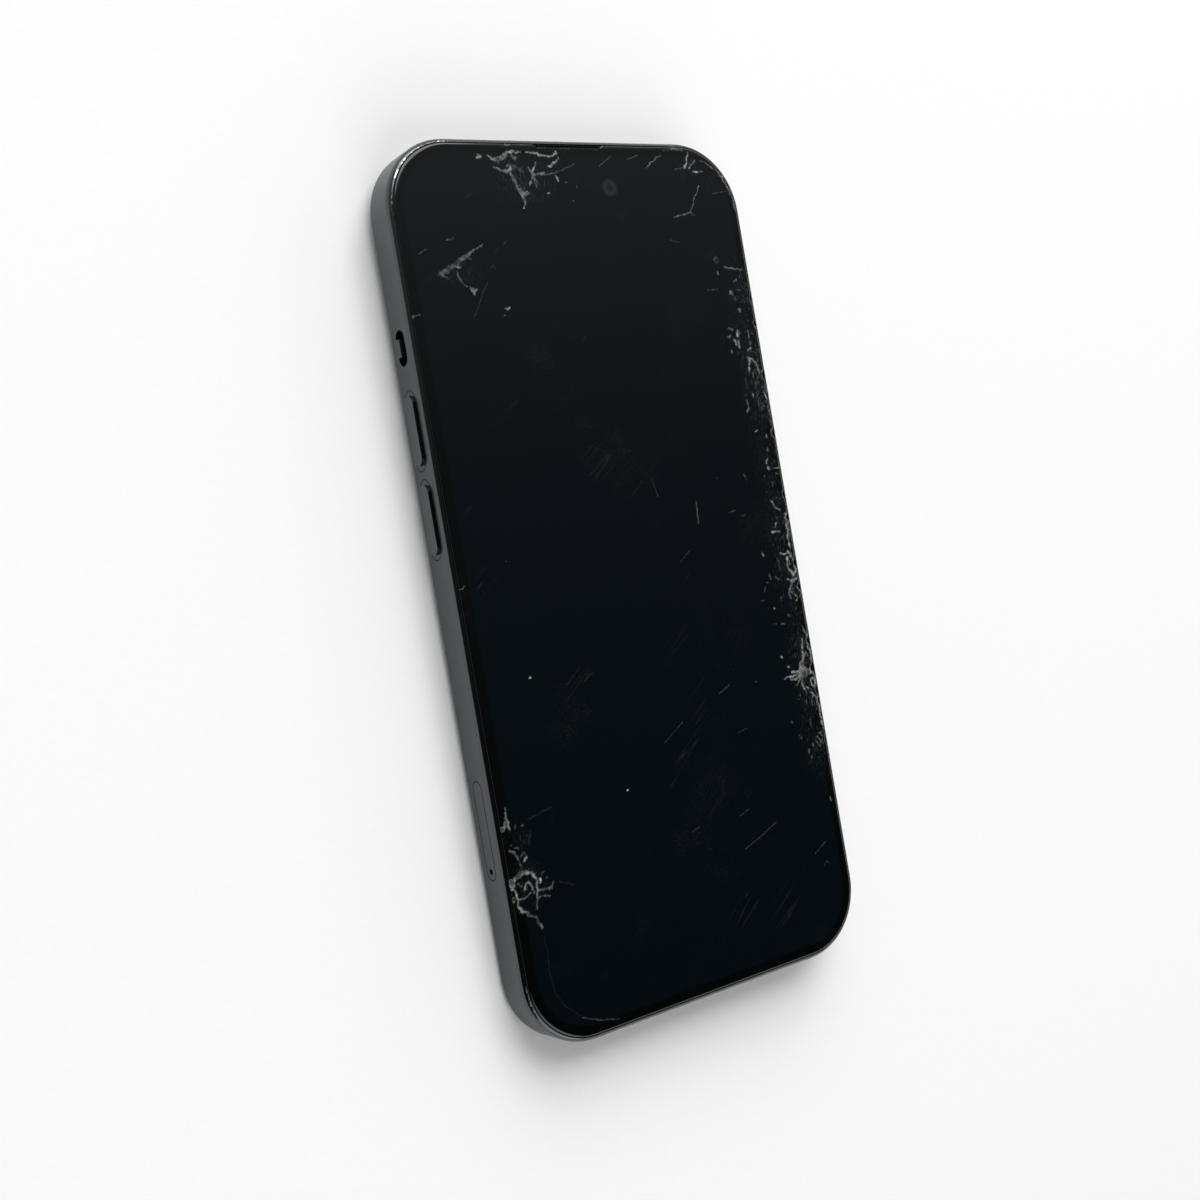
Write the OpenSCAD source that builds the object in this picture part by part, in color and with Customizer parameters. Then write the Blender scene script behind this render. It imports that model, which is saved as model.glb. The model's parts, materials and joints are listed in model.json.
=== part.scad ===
// Flat-sided pocket phone with a shattered screen, lying on its back with the screen up.
// X runs across the phone, Y towards its earpiece end, Z out of the screen. All sizes in mm.
// Z = 0 is the plane of the two rear lens rings, the lowest points of the phone.

/* [Body] */
// Length of the body from top edge to bottom edge
body_l = 147.6; // [140:0.1:178]
// Width of the body between its long sides, without the buttons
body_w = 71.6; // [68:0.1:86]
// Thickness of the body from back panel to screen
body_t = 7.8; // [7.6:0.1:9.4]
// Corner radius of the outline
corner_r = 12.1; // [10.5:0.1:14.6]
// Rounding of the frame where it meets the back
back_round = 1.3; // [0.8:0.1:1.4]
// Rounding of the frame where it meets the screen
rim_round = 1.1; // [0.9:0.05:1.2]
// Thickness of the frame wall
wall_t = 2.6; // [2.4:0.1:3.1]
// Drop from the screen surface to the front edge of the frame
rim_drop = 0.2; // [0.1:0.05:0.3]
// Width of the frame lip round the screen
rim_w = 0.7; // [0.5:0.05:0.8]
// Thickness of the plate inside the frame
plate_t = 0.55; // [0.4:0.05:0.6]

/* [Screen] */
// Thickness of the cover glass
glass_t = 0.7; // [0.55:0.05:0.8]
// Rounding of the upper edge of the cover glass
glass_round = 0.55; // [0.3:0.05:0.55]
// Thickness of the display panel under the glass
panel_t = 0.85; // [0.6:0.05:0.9]
// Width of the plastic trim under the edge of the glass
trim_w = 1.5; // [1.2:0.1:1.7]
// Length of the earpiece slit in the top edge of the glass
slit_l = 14; // [10:0.5:16]
// Depth of the earpiece slit
slit_w = 0.6; // [0.4:0.05:0.8]
// Distance of the front camera from the centre line
front_cam_x = 7.3; // [6:0.1:8]
// Distance of the front camera from the top edge
front_cam_drop = 8.2; // [7.8:0.1:9]

/* [Damage] */
// Distance of the bright burst on the right edge below the middle of the screen
burst_y = 22.5; // [10:0.5:40]
// Longest crack running out of the burst
burst_reach = 7; // [3:0.5:12]
// Distance of the star crack left of the centre line
star_x = 8.5; // [4:0.5:20]
// Distance of the star crack from the top edge
star_drop = 6.5; // [4:0.5:9]
// Reach of the rays of the star crack
star_reach = 5; // [3:0.5:8]
// Distance of the shell-shaped break above the bottom edge
shell_rise = 26.5; // [20:0.5:40]
// Width of the crushed band along the right edge
crush_w = 2.4; // [1.2:0.2:4]
// Number of chips along the crushed edge
crush_n = 17; // [6:1:24]
// Width of a crack at the surface
crack_w = 0.16; // [0.1:0.02:0.3]
// Depth of a crack
crack_d = 0.3; // [0.15:0.05:0.4]

/* [Side controls] */
// Length of each volume button
vol_l = 11.2; // [9:0.1:12.6]
// Width of every side button
key_w = 2.7; // [2.2:0.1:2.8]
// Height of the buttons above the frame
key_proud = 0.5; // [0.3:0.05:0.8]
// Distance of the upper volume button's centre from the top edge
vol_up_drop = 46.2; // [44:0.1:52]
// Distance between the centres of the two volume buttons
vol_pitch = 14.3; // [14:0.1:17]
// Length of the power button on the right side
power_l = 19; // [14:0.5:24]
// Distance of the power button's centre from the top edge
power_drop = 52; // [46:0.5:60]
// Inward travel of a button
key_travel = 0.25; // [0.1:0.05:0.3]
// Length of the mute switch slot
mute_l = 5.8; // [5:0.1:6.4]
// Width of the mute switch slot
mute_w = 2.8; // [2.6:0.1:3]
// Distance of the mute switch's centre from the top edge
mute_drop = 32.9; // [31.5:0.1:34.5]
// Height of the mute switch knob above the frame
mute_proud = 0.3; // [0.1:0.05:0.45]
// Sliding travel of the mute switch
mute_travel = 1.2; // [0.8:0.05:1.25]

/* [Card tray] */
// Length of the tray's face
tray_l = 16; // [15.4:0.1:17]
// Width of the tray's face
tray_w = 2.6; // [2.2:0.1:2.8]
// Distance of the tray's centre below the middle of the body
tray_y = 36.9; // [33:0.1:40]
// Length of the tray from its face to its inner end
tray_reach = 20; // [18:0.5:22]
// Width of the tray's blade
blade_w = 12.7; // [12.3:0.1:12.9]
// Thickness of the tray's blade
blade_t = 1.1; // [0.9:0.05:1.2]
// Diameter of the hole for the eject pin
pin_d = 1; // [0.8:0.05:1.2]

/* [Rear cameras] */
// Width of the raised camera island
island_w = 25; // [22:0.5:28]
// Length of the raised camera island
island_l = 38; // [34:0.5:42]
// Height of the island above the back
island_h = 1; // [0.6:0.1:1.4]
// Height of the lens rings above the island
ring_h = 1; // [0.8:0.1:1.4]
// Outer diameter of a lens ring
ring_d = 13.5; // [12:0.1:15]
// Distance between the two rear lenses
lens_pitch = 17.6; // [16:0.1:19]
// Distance of the island from the sides of the body
island_margin = 4.5; // [3:0.1:6]
// Diameter of the flash window
flash_d = 4.8; // [3.5:0.1:6]

/* [Bottom edge] */
// Width of the charging socket's shell
port_w = 8.94; // [8.6:0.02:9.2]
// Height of the charging socket's shell
port_h = 3.26; // [3:0.02:3.3]
// Distance of the case screws from the centre line
case_screw_x = 6.9; // [6.4:0.1:7.4]
// Number of round holes on each side of the socket
hole_n = 6; // [3:1:6]
// Diameter of the round holes
hole_d = 1.5; // [1:0.1:1.7]
// Spacing of the round holes
hole_pitch = 2; // [1.8:0.05:2.1]
// Width of the antenna strips in the frame
strip_w = 1.2; // [0.8:0.1:1.6]

/* [Inside] */
// Thickness of the back panel
back_t = 0.8; // [0.6:0.05:0.9]
// Outer radius of the charging coil
coil_r = 22; // [18:0.5:24]
// Width of the main board's long arm
board_w = 20.2; // [18:0.1:21]
// Thickness of the main board
board_t = 0.6; // [0.5:0.05:0.7]

/* [Hidden] */
$fn = 96;

// clearances and thin layers
over = 1;            // how far a cut runs past the face it opens
gap = 0.1;           // general clearance between fitted pieces
slide = 0.06;        // running clearance of buttons and tray in their slots
thread_gap = 0.02;   // clearance of a screw in its hole
seal_t = 0.15;       // adhesive seals
sheet_t = 0.2;       // sheet metal and flex circuits
tab_t = 0.2;         // adhesive tabs under the battery
coil_t = 0.35;       // wound flat coil
board_lift = 0.2;    // spacing of the board below the plate

// half sizes and insets from the outline
half_l = body_l / 2;
half_w = body_w / 2;
back_in = back_round + 0.2;      // back panel edge
glass_in = rim_w + gap;          // cover glass and trim edge
trim_in = glass_in + trim_w;     // inner edge of the trim
inner_x = half_w - wall_t;       // inner face of the long walls
inner_y = half_l - wall_t;       // inner face of the short walls

// heights
z_island = ring_h;
z_back = ring_h + island_h;
z_front = z_back + body_t;
z_back_in = z_back + back_t;
z_ledge = z_back_in + seal_t;
z_glass = z_front - glass_t;
z_rim = z_front - rim_drop;
plate_drop = 1.75;               // top of the middle plate below the screen surface
z_plate_top = z_front - plate_drop;
z_plate = z_plate_top - plate_t;
z_trim = z_plate_top + seal_t;
z_key = z_back + body_t / 2 + 0.05;
z_tray = z_back + body_t / 2 - 0.1;
z_board_top = z_plate - board_lift;
z_board = z_board_top - board_t;
z_battery = z_back_in + coil_t + 0.3;
z_mute = z_key - 0.05;

// side controls
flange_t = 0.5;                          // inner flange of a button
flange_lip = 0.9;                        // how far the flange passes the slot's ends
dome_t = 0.35;                           // contact dome on the flex
dome_r = 1.3;
dome_x = inner_x - gap / 2 - flange_t - key_travel - gap / 2;   // tip of the domes
flex_x = dome_x - dome_t;                // face of the side flexes
vol_up_y = half_l - vol_up_drop;
vol_down_y = vol_up_y - vol_pitch;
power_y = half_l - power_drop;
mute_y = half_l - mute_drop;
knob_h = mute_w - mute_travel - 2 * slide;   // height of the knob along its travel
knob_z = z_mute - mute_w / 2 + slide;        // lower side of the knob at rest
mute_base_h = 2.75;                          // height of the knob's base plate

// card tray and its hole
tray_cy = -tray_y;
blade_cy = tray_cy + (tray_l - blade_w) / 2 - 0.9;
pin_y = tray_cy - tray_l / 2 + 1.4;
seal_w = 0.4;         // section of the tray's seal
seal_x = 1;           // depth of the seal behind the tray's face

// rear cameras
island_x = half_w - island_margin - island_w / 2;
island_y = half_l - island_margin - island_l / 2;
lens_x = island_x + 4;
lens_main_y = island_y + lens_pitch / 2;
lens_wide_y = island_y - lens_pitch / 2;
flash_x = island_x - 8;
island_wall = 0.8;
collar_r = ring_d / 2 - 1.25;     // collar of the ring, through the island
bore_r = collar_r - 0.6;          // clear bore of the ring
seat_r = collar_r + 0.3;          // seat of the lens glass
lens_t = 0.6;
lens_set = 0.1;                   // lens glass below the ring's face
main_module = 12;
wide_module = 10;

// board, battery and the rest
board_left = -(flex_x - sheet_t - 0.4);
board_right = board_left + board_w;
board_top_y = half_l - 11.8;
board_low_y = -(half_l - 21.8);
wing_right = lens_x - main_module / 2 - 1.8;
wing_low_y = board_top_y - 26;
battery_left = board_right + 0.8;
battery_right = flex_x - sheet_t - 0.5;
battery_top_y = wing_low_y - 2.2;
battery_low_y = -(half_l - 22.8);
front_cam_y = half_l - front_cam_drop;
sensor_half = 1.5;
sensor_top_y = front_cam_y + sensor_half;
window_r = 2.8;                           // half height of the window in the panel
reader_w = blade_w + 2 * gap + 2 * sheet_t;
module_low_y = -(half_l - 19.8);          // upper limit of the bottom modules
port_flex_y = -inner_y + 8;               // inner end of the port's flex film
first_hole = case_screw_x + 3.8;
strip_x = half_w - corner_r - strip_w;
strip_depth = 1.2;
shell_t = 0.3;                            // wall of the charging socket
port_y = -(half_l - 0.2);
port_depth = 7.8;
head_r = 1;                               // case screw
shank_r = 0.6;
lug_w = 3;
lug_t = 1;
lug_y = -(half_l - 1.2);
board_screw_r = 0.6;
screw_spots = [[board_left + 1.9, board_top_y - 2.4], [wing_right - 1.9, board_top_y - 2.2],
    [wing_right - 1.9, wing_low_y + 2.2], [board_left + 1.9, board_low_y + 2.4],
    [board_right - 1.9, board_low_y + 2.4]];
battery_mid = (battery_left + battery_right) / 2;
lead_l = 3.6;                             // battery lead on the board
shield_left = board_left + 1.6;
shield_right = board_right - lead_l - 0.6;
shield_mid = (shield_left + shield_right) / 2;
shield_h = 1.6;

// colours
band_colour = [0.36, 0.38, 0.38];
black = [0.05, 0.05, 0.06];
dark_grey = [0.22, 0.23, 0.24];
steel = [0.7, 0.7, 0.72];
flex_colour = [0.35, 0.2, 0.1];

// ---- shared shapes ----

// flat outline with round corners
module outline(l, w, r) {
    square([w - 2 * r, l], center = true);
    square([w, l - 2 * r], center = true);
    for (sx = [-1, 1], sy = [-1, 1])
        translate([sx * (w / 2 - r), sy * (l / 2 - r)]) circle(r);
}

// plate following the body's outline, set in from it
module body_plate(inset, z0, z1) {
    translate([0, 0, z0]) linear_extrude(z1 - z0)
        outline(body_l - 2 * inset, body_w - 2 * inset, corner_r - inset);
}

// ring following the body's outline between two insets
module body_ring(outer, inner, z0, z1) {
    difference() {
        body_plate(outer, z0, z1);
        body_plate(inner, z0 - over, z1 + over);
    }
}

// section of an edge rounded below and above
module edge_section(reach, h, low_r, top_r) {
    intersection() {
        square([reach, h]);
        union() {
            translate([0, low_r]) square([reach, h - low_r - top_r]);
            if (low_r > 0) {
                square([reach - low_r, low_r]);
                translate([reach - low_r, low_r]) circle(low_r);
            }
            if (top_r > 0) {
                translate([0, h - top_r]) square([reach - top_r, top_r]);
                translate([reach - top_r, h - top_r]) circle(top_r);
            }
        }
    }
}

// slab with round corners and rounded edges
module soft_slab(l, w, h, r, low_r, top_r) {
    translate([-w / 2 + r, -l / 2 + r, 0]) cube([w - 2 * r, l - 2 * r, h]);
    for (side = [0, 1]) rotate([0, 0, 180 * side]) {
        translate([w / 2 - r, 0, 0]) rotate([90, 0, 0])
            linear_extrude(l - 2 * r, center = true) edge_section(r, h, low_r, top_r);
        rotate([0, 0, 90]) translate([l / 2 - r, 0, 0]) rotate([90, 0, 0])
            linear_extrude(w - 2 * r, center = true) edge_section(r, h, low_r, top_r);
        translate([w / 2 - r, l / 2 - r, 0])
            rotate_extrude(angle = 90) edge_section(r, h, low_r, top_r);
        rotate([0, 0, 90]) translate([l / 2 - r, w / 2 - r, 0])
            rotate_extrude(angle = 90) edge_section(r, h, low_r, top_r);
    }
}

// box between two corners
module span_box(x0, x1, y0, y1, z0, z1) {
    translate([x0, y0, z0]) cube([x1 - x0, y1 - y0, z1 - z0]);
}

// long rounded key, lying along Y, from x0 to x1, centred on y and z
module key_block(x0, x1, y, z, l, w) {
    translate([x0, y, z]) rotate([90, 0, 90]) linear_extrude(x1 - x0) {
        square([l - w, w], center = true);
        for (s = [-1, 1]) translate([s * (l - w) / 2, 0]) circle(w / 2);
    }
}

// rounded slot shape, lying along X, from y0 to y1, centred on x and z
module wide_block(y0, y1, x, z, l, w) {
    translate([x, y1, z]) rotate([90, 0, 0]) linear_extrude(y1 - y0) {
        square([l - w, w], center = true);
        for (s = [-1, 1]) translate([s * (l - w) / 2, 0]) circle(w / 2);
    }
}

// post along Z
module post(x, y, z0, z1, r) {
    translate([x, y, z0]) cylinder(h = z1 - z0, r = r);
}

// rod along Y
module rod_y(x, z, y0, y1, r) {
    translate([x, y1, z]) rotate([90, 0, 0]) cylinder(h = y1 - y0, r = r);
}

// rod along X
module rod_x(y, z, x0, x1, r) {
    translate([x0, y, z]) rotate([0, 90, 0]) cylinder(h = x1 - x0, r = r);
}

// ---- frame ----

module frame_solid() {
    translate([0, 0, z_back])
        soft_slab(body_l, body_w, z_rim - z_back, corner_r, back_round, rim_round);
}

// space of one antenna strip: side -1 or 1 across, end -1 or 1 along
module strip_space(side, end) {
    span_box(side * strip_x - strip_w / 2, side * strip_x + strip_w / 2,
        end > 0 ? half_l - strip_depth : -half_l - over,
        end > 0 ? half_l + over : -half_l + strip_depth, z_back - over, z_rim + over);
}

module antenna_strip(side, end) {
    color([0.45, 0.47, 0.47]) difference() {
        intersection() {
            frame_solid();
            strip_space(side, end);
        }
        body_plate(rim_w, z_plate_top, z_rim + over);
    }
}

module lug_space(side, room) {
    span_box(side * case_screw_x - lug_w / 2 - room, side * case_screw_x + lug_w / 2 + room,
        lug_y - room, lug_y + lug_t + room, z_tray - lug_w / 2 - room, z_trim + over);
}

module round_holes(side) {
    for (i = [0 : hole_n - 1])
        rod_y(side * (first_hole + i * hole_pitch), z_tray, -half_l - over, -inner_y + over,
            hole_d / 2);
}

module mid_frame() {
    color(band_colour) difference() {
        union() {
            difference() {
                frame_solid();
                body_plate(wall_t, z_back - over, z_plate);
                body_plate(back_in - gap, z_back - over, z_ledge);
                body_plate(rim_w, z_plate_top, z_rim + over);
            }
            for (p = screw_spots) post(p[0], p[1], z_board_top, z_plate_top - gap, 1.6);
        }
        for (p = screw_spots)
            post(p[0], p[1], z_board_top - over, z_plate_top - 2 * gap, board_screw_r + thread_gap);
        for (side = [-1, 1], end = [-1, 1]) strip_space(side, end);
        key_block(-half_w - over, -inner_x + over, vol_up_y, z_key,
            vol_l + 2 * slide, key_w + 2 * slide);
        key_block(-half_w - over, -inner_x + over, vol_down_y, z_key,
            vol_l + 2 * slide, key_w + 2 * slide);
        key_block(inner_x - over, half_w + over, power_y, z_key,
            power_l + 2 * slide, key_w + 2 * slide);
        key_block(-half_w - over, -inner_x + over, mute_y, z_mute, mute_l, mute_w);
        key_block(-half_w - over, -inner_x + over, tray_cy, z_tray,
            tray_l + 2 * slide, tray_w + 2 * slide);
        wide_block(-half_l - over, -inner_y + over, 0, z_tray, port_w + gap, port_h + gap);
        for (side = [-1, 1]) {
            round_holes(side);
            lug_space(side, gap);
            rod_y(side * case_screw_x, z_tray, -half_l - over, -half_l + 0.8, head_r + gap);
            rod_y(side * case_screw_x, z_tray, -half_l - over, -inner_y + over,
                shank_r + thread_gap);
        }
        span_box(-slit_l / 2 + 1, slit_l / 4, inner_y - 0.5, half_l - 1, z_plate - over,
            z_plate_top + over);
        span_box(front_cam_x - 3.3, front_cam_x + 3.3, front_cam_y - 3.3, front_cam_y + 3.3,
            z_plate - over, z_plate_top + over);
        span_box(-front_cam_x - 2 - gap, -front_cam_x + 2 + gap, front_cam_y - sensor_half - gap,
            sensor_top_y + gap, z_plate - over, z_plate_top + over);
        span_box(board_left + 5, board_left + 17, board_top_y - 14, board_top_y - 10,
            z_plate - over, z_plate_top + over);
    }
}

// ---- screen ----

// one tapering crack from (x, y) in the given direction
module crack(x, y, turn, reach, width) {
    translate([x, y, z_front - crack_d]) rotate([0, 0, turn]) linear_extrude(crack_d + over)
        polygon([[-width / 2, 0], [0, -width], [reach / 2, -width / 2], [reach, 0],
            [reach / 2, width / 2], [0, width]]);
}

// cracks fanning out of one point, long and short in turn
module star(x, y, first, fan, rays, reach) {
    for (i = [0 : rays - 1])
        crack(x, y, first + fan * i / (rays - 1) + 9 * sin(140 * i),
            reach * (0.55 + 0.45 * cos(155 * i)), crack_w * 1.3);
}

// many-sided chip sunk into the surface of the glass
module rim_chip(x, y, r, depth, turn, sides) {
    translate([x, y, z_front - depth]) rotate([0, 0, turn])
        cylinder(h = depth + over, r = r, $fn = sides);
}

module damage() {
    edge = half_w - glass_in;
    // burst on the right edge
    star(edge - 1.6, -burst_y, 120, 130, 7, burst_reach);
    star(edge - 1.6, -burst_y, -70, 140, 5, burst_reach / 3);
    // crushed right edge: bites out of the rim, and flakes lifted beside them
    for (i = [0 : crush_n - 1]) {
        y = half_l * 0.62 - i * body_l * 0.56 / (crush_n - 1);
        bite = crush_w * (0.36 + 0.12 * sin(97 * i));
        flake = crush_w * (0.3 + 0.12 * cos(71 * i));
        rim_chip(edge + 0.2, y, bite, crack_d * 1.4, 12 + 37 * i, 5 + i % 3);
        rim_chip(edge - glass_round - flake - 0.35, y + crush_w * 0.9, flake,
            crack_d * (0.5 + 0.2 * sin(53 * i)), 25 + 41 * i, 5 + (i + 1) % 3);
    }
    // star under the earpiece
    star(-star_x, half_l - star_drop, 15, 300, 9, star_reach);
    crack(-star_x - 6.5, half_l - star_drop + 3, 10, 2 * star_reach, crack_w * 1.6);
    crack(-star_x - 4, half_l - star_drop + 1.5, -68, 1.3 * star_reach, crack_w * 2);
    // feathered break on the left
    crack(-half_w * 0.8, half_l * 0.7, 28, 10, crack_w * 3);
    crack(-half_w * 0.7, half_l * 0.68, -35, 3.5, crack_w * 3);
    // forked crack and crushed corner at the upper right
    star(half_w * 0.67, half_l * 0.83, 60, 130, 3, 6);
    for (i = [0 : 4])
        crack(half_w - corner_r * 0.45 + 1.5 * i, half_l - 3 - 1.9 * i, -20 - 15 * i, 3,
            crack_w * 2);
    // shell-shaped break at the lower left
    for (i = [0 : 6])
        crack(-half_w + 3.5 + 2 * cos(51 * i), -half_l + shell_rise + 2.6 * sin(51 * i),
            51 * i + 70, 3.4, crack_w * 2);
    crack(-half_w + 4, -half_l + shell_rise - 5, -86, 11, crack_w);
    crack(-half_w + 5, -half_l + shell_rise - 15, -62, 8, crack_w);
}

module cover_glass() {
    color(black) difference() {
        translate([0, 0, z_glass]) soft_slab(body_l - 2 * glass_in, body_w - 2 * glass_in,
            glass_t, corner_r - glass_in, 0, glass_round);
        span_box(-slit_l / 2, slit_l / 2, half_l - glass_in - slit_w, half_l, z_glass - over,
            z_front + over);
        damage();
    }
}

module display_panel() {
    color([0.03, 0.03, 0.05]) difference() {
        body_plate(trim_in + gap, z_glass - panel_t, z_glass);
        for (s = [-1, 1])
            post(s * front_cam_x, front_cam_y, z_glass - panel_t - over, z_glass + over, window_r);
        span_box(-front_cam_x, front_cam_x, front_cam_y - window_r, front_cam_y + window_r,
            z_glass - panel_t - over, z_glass + over);
    }
}

module display_trim() {
    color(black) difference() {
        union() {
            body_ring(glass_in, trim_in, z_trim, z_glass);
            for (side = [-1, 1]) intersection() {
                lug_space(side, 0);
                body_plate(0, z_back, z_trim + gap);
            }
        }
        span_box(-slit_l / 2 + 0.5, slit_l / 2 - 0.5, half_l - glass_in - slit_w,
            half_l - glass_in - gap, z_trim - over, z_glass + over);
        for (side = [-1, 1])
            rod_y(side * case_screw_x, z_tray, lug_y - over, lug_y + lug_t + over,
                shank_r + thread_gap);
    }
}

module display_seal() {
    color([0.1, 0.1, 0.1]) difference() {
        body_ring(glass_in + gap, trim_in - gap, z_plate_top, z_trim);
        for (side = [-1, 1]) lug_space(side, gap);
        span_box(-slit_l / 2, slit_l / 2, half_l - trim_in, half_l - 1, z_plate_top - over,
            z_trim + over);
    }
}

module display_flex() {
    x0 = board_left + 6;
    x1 = board_left + 16;
    y1 = board_top_y - 10.4;
    color(flex_colour) {
        span_box(x0, x1, y1 - 2.6, y1, z_board_top, z_plate_top - gap);
        span_box(x0, x1, y1 - sheet_t, y1, z_plate_top - 2 * gap, z_glass - panel_t);
    }
}

module earpiece_mesh() {
    y0 = half_l - glass_in - slit_w + gap / 2;
    y1 = half_l - glass_in - gap / 2;
    color(black) difference() {
        span_box(-slit_l / 2 + gap, slit_l / 2 - gap, y0, y1, z_glass, z_front - 0.3);
        for (i = [-10 : 10])
            span_box(i * 0.6 - 0.17, i * 0.6 + 0.17, y0 + 0.12, y1 - 0.12, z_glass - over,
                z_front);
    }
}

module earpiece_speaker() {
    color(dark_grey) difference() {
        span_box(-10, front_cam_x - 3.4, sensor_top_y + 5 * gap, inner_y - gap,
            z_plate - 2.9, z_plate - gap);
        span_box(-6, 2, inner_y - 1.8, inner_y - 0.6, z_plate - 0.9, z_plate + over);
    }
}

module front_camera() {
    color(dark_grey) {
        span_box(front_cam_x - 3.2, front_cam_x + 3.2, front_cam_y - 3.2, front_cam_y + 3.2,
            z_plate - 3.2, z_plate_top - gap);
        post(front_cam_x, front_cam_y, z_plate_top - 2 * gap, z_glass - gap, 1.65);
    }
}

module front_sensor() {
    color(dark_grey) {
        span_box(-front_cam_x - 2, -front_cam_x + 2, front_cam_y - sensor_half, sensor_top_y,
            z_plate - 0.6, z_plate_top);
        post(-front_cam_x, front_cam_y, z_plate_top - gap, z_glass - gap, 1);
    }
}

// ---- back ----

module back_panel() {
    color([0.2, 0.21, 0.22]) difference() {
        union() {
            body_plate(back_in, z_back, z_back_in);
            translate([island_x, island_y, z_island])
                soft_slab(island_l, island_w, island_h + back_t, 6, 0.5, 0);
        }
        translate([island_x, island_y, z_island + island_wall])
            linear_extrude(island_h + back_t + over)
            outline(island_l - 2.4, island_w - 2.4, 4.8);
        post(lens_x, lens_main_y, 0, z_back + over, collar_r + gap / 2);
        post(lens_x, lens_wide_y, 0, z_back + over, collar_r + gap / 2);
        post(flash_x, lens_main_y, 0, z_back + over, flash_d / 2 + gap / 2);
    }
}

module back_seal() {
    color([0.1, 0.1, 0.1]) body_ring(back_in + gap, wall_t - gap, z_back_in, z_ledge);
}

module lens_ring(y) {
    bevel = 0.2;
    color(steel) translate([lens_x, y, 0]) rotate_extrude() polygon([
        [bore_r, z_island + island_wall], [collar_r, z_island + island_wall],
        [collar_r, z_island], [ring_d / 2, z_island], [ring_d / 2, bevel],
        [ring_d / 2 - bevel, 0], [seat_r, 0], [seat_r, lens_set + lens_t],
        [bore_r, lens_set + lens_t]]);
}

module lens_glass(y) {
    color([0.05, 0.06, 0.09]) post(lens_x, y, lens_set, lens_set + lens_t, seat_r - gap / 2);
}

module flash_window() {
    color([0.9, 0.88, 0.8]) post(flash_x, lens_main_y, z_island, z_island + island_wall - gap,
        flash_d / 2);
}

module flash_led() {
    color([0.9, 0.8, 0.3]) translate([flash_x, lens_main_y, z_island + island_wall + 0.5])
        cube([3.2, 3.2, 0.9], center = true);
}

module rear_camera(y, size) {
    z0 = z_island + island_wall + gap;
    color(dark_grey) {
        span_box(lens_x - size / 2, lens_x + size / 2, y - size / 2, y + size / 2, z0,
            z_plate - sheet_t - 0.15);
        post(lens_x, y, lens_set + lens_t + gap, z0 + gap, size / 2 - 2.2);
    }
}

module camera_bracket() {
    side = main_module / 2 + 1;
    color(steel) difference() {
        span_box(lens_x - side, lens_x + side, lens_wide_y - side + 1, lens_main_y + side,
            z_plate - sheet_t - gap / 2, z_plate - gap / 2);
        post(lens_x, island_y, z_plate - over, z_plate + over, 2.5);
    }
}

// ---- inside ----

module battery() {
    color([0.12, 0.12, 0.13]) {
        span_box(battery_left, battery_right, battery_low_y, battery_top_y - 3, z_battery,
            z_plate - tab_t);
        span_box(battery_left + 1, battery_right - 1, battery_top_y - 3, battery_top_y,
            z_battery + 1, z_plate - tab_t - 1);
    }
}

module battery_tabs() {
    color([0.85, 0.85, 0.85]) for (s = [-1, 1])
        span_box(battery_mid + s * 10 - 3, battery_mid + s * 10 + 3, battery_low_y + 4,
            battery_top_y - 8, z_plate - tab_t, z_plate);
}

module battery_lead() {
    color(flex_colour) span_box(board_right - lead_l, battery_left, 12, 18, z_board - 0.3, z_board);
}

module main_board() {
    color([0.05, 0.2, 0.12]) difference() {
        union() {
            span_box(board_left, board_right, board_low_y, board_top_y, z_board, z_board_top);
            span_box(board_left, wing_right, wing_low_y, board_top_y, z_board, z_board_top);
        }
        for (p = screw_spots)
            post(p[0], p[1], z_board - over, z_board_top + over, board_screw_r + gap);
    }
}

module chip(x, y, w, l, h) {
    color([0.08, 0.08, 0.09]) span_box(x - w / 2, x + w / 2, y - l / 2, y + l / 2, z_board - h,
        z_board);
}

// sheet-metal can, open towards the board
module shield(x0, x1, y0, y1, h) {
    color(steel) difference() {
        span_box(x0, x1, y0, y1, z_board - h, z_board);
        span_box(x0 + sheet_t, x1 - sheet_t, y0 + sheet_t, y1 - sheet_t, z_board - h + sheet_t,
            z_board + over);
    }
}

module board_screws() {
    color(steel) for (p = screw_spots) {
        post(p[0], p[1], z_board - 0.5, z_board, 1.2);
        post(p[0], p[1], z_board - gap, z_plate_top - 3 * gap, board_screw_r);
    }
}

module card_reader() {
    x0 = -inner_x + 0.3;
    x1 = -half_w + tray_reach + 0.8;
    color(steel) difference() {
        span_box(x0, x1, blade_cy - reader_w / 2, blade_cy + reader_w / 2,
            z_tray - blade_t / 2 - gap - sheet_t, z_board);
        span_box(x0 - over, x1 - sheet_t, blade_cy - reader_w / 2 + sheet_t,
            blade_cy + reader_w / 2 - sheet_t, z_tray - blade_t / 2 - gap,
            z_tray + blade_t / 2 + gap);
    }
}

module charging_coil() {
    color([0.7, 0.4, 0.25]) difference() {
        post(0, -5, z_back_in, z_back_in + coil_t, coil_r);
        post(0, -5, z_back_in - over, z_back_in + coil_t + over, coil_r * 0.4);
    }
}

module port_shell() {
    color(steel) difference() {
        wide_block(port_y, port_y + port_depth, 0, z_tray, port_w, port_h);
        wide_block(port_y - over, port_y + port_depth - 0.8, 0, z_tray, port_w - 2 * shell_t,
            port_h - 2 * shell_t - gap);
    }
}

module port_tongue() {
    color(black) span_box(-3.34, 3.34, port_y + 0.8, port_y + port_depth - 0.8,
        z_tray - 0.35, z_tray + 0.35);
}

module port_flex() {
    top = z_tray - port_h / 2 - gap;
    color(flex_colour) span_box(-half_w + corner_r, case_screw_x - 1, -inner_y + 0.2,
        port_flex_y, top - sheet_t, top);
}

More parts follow.
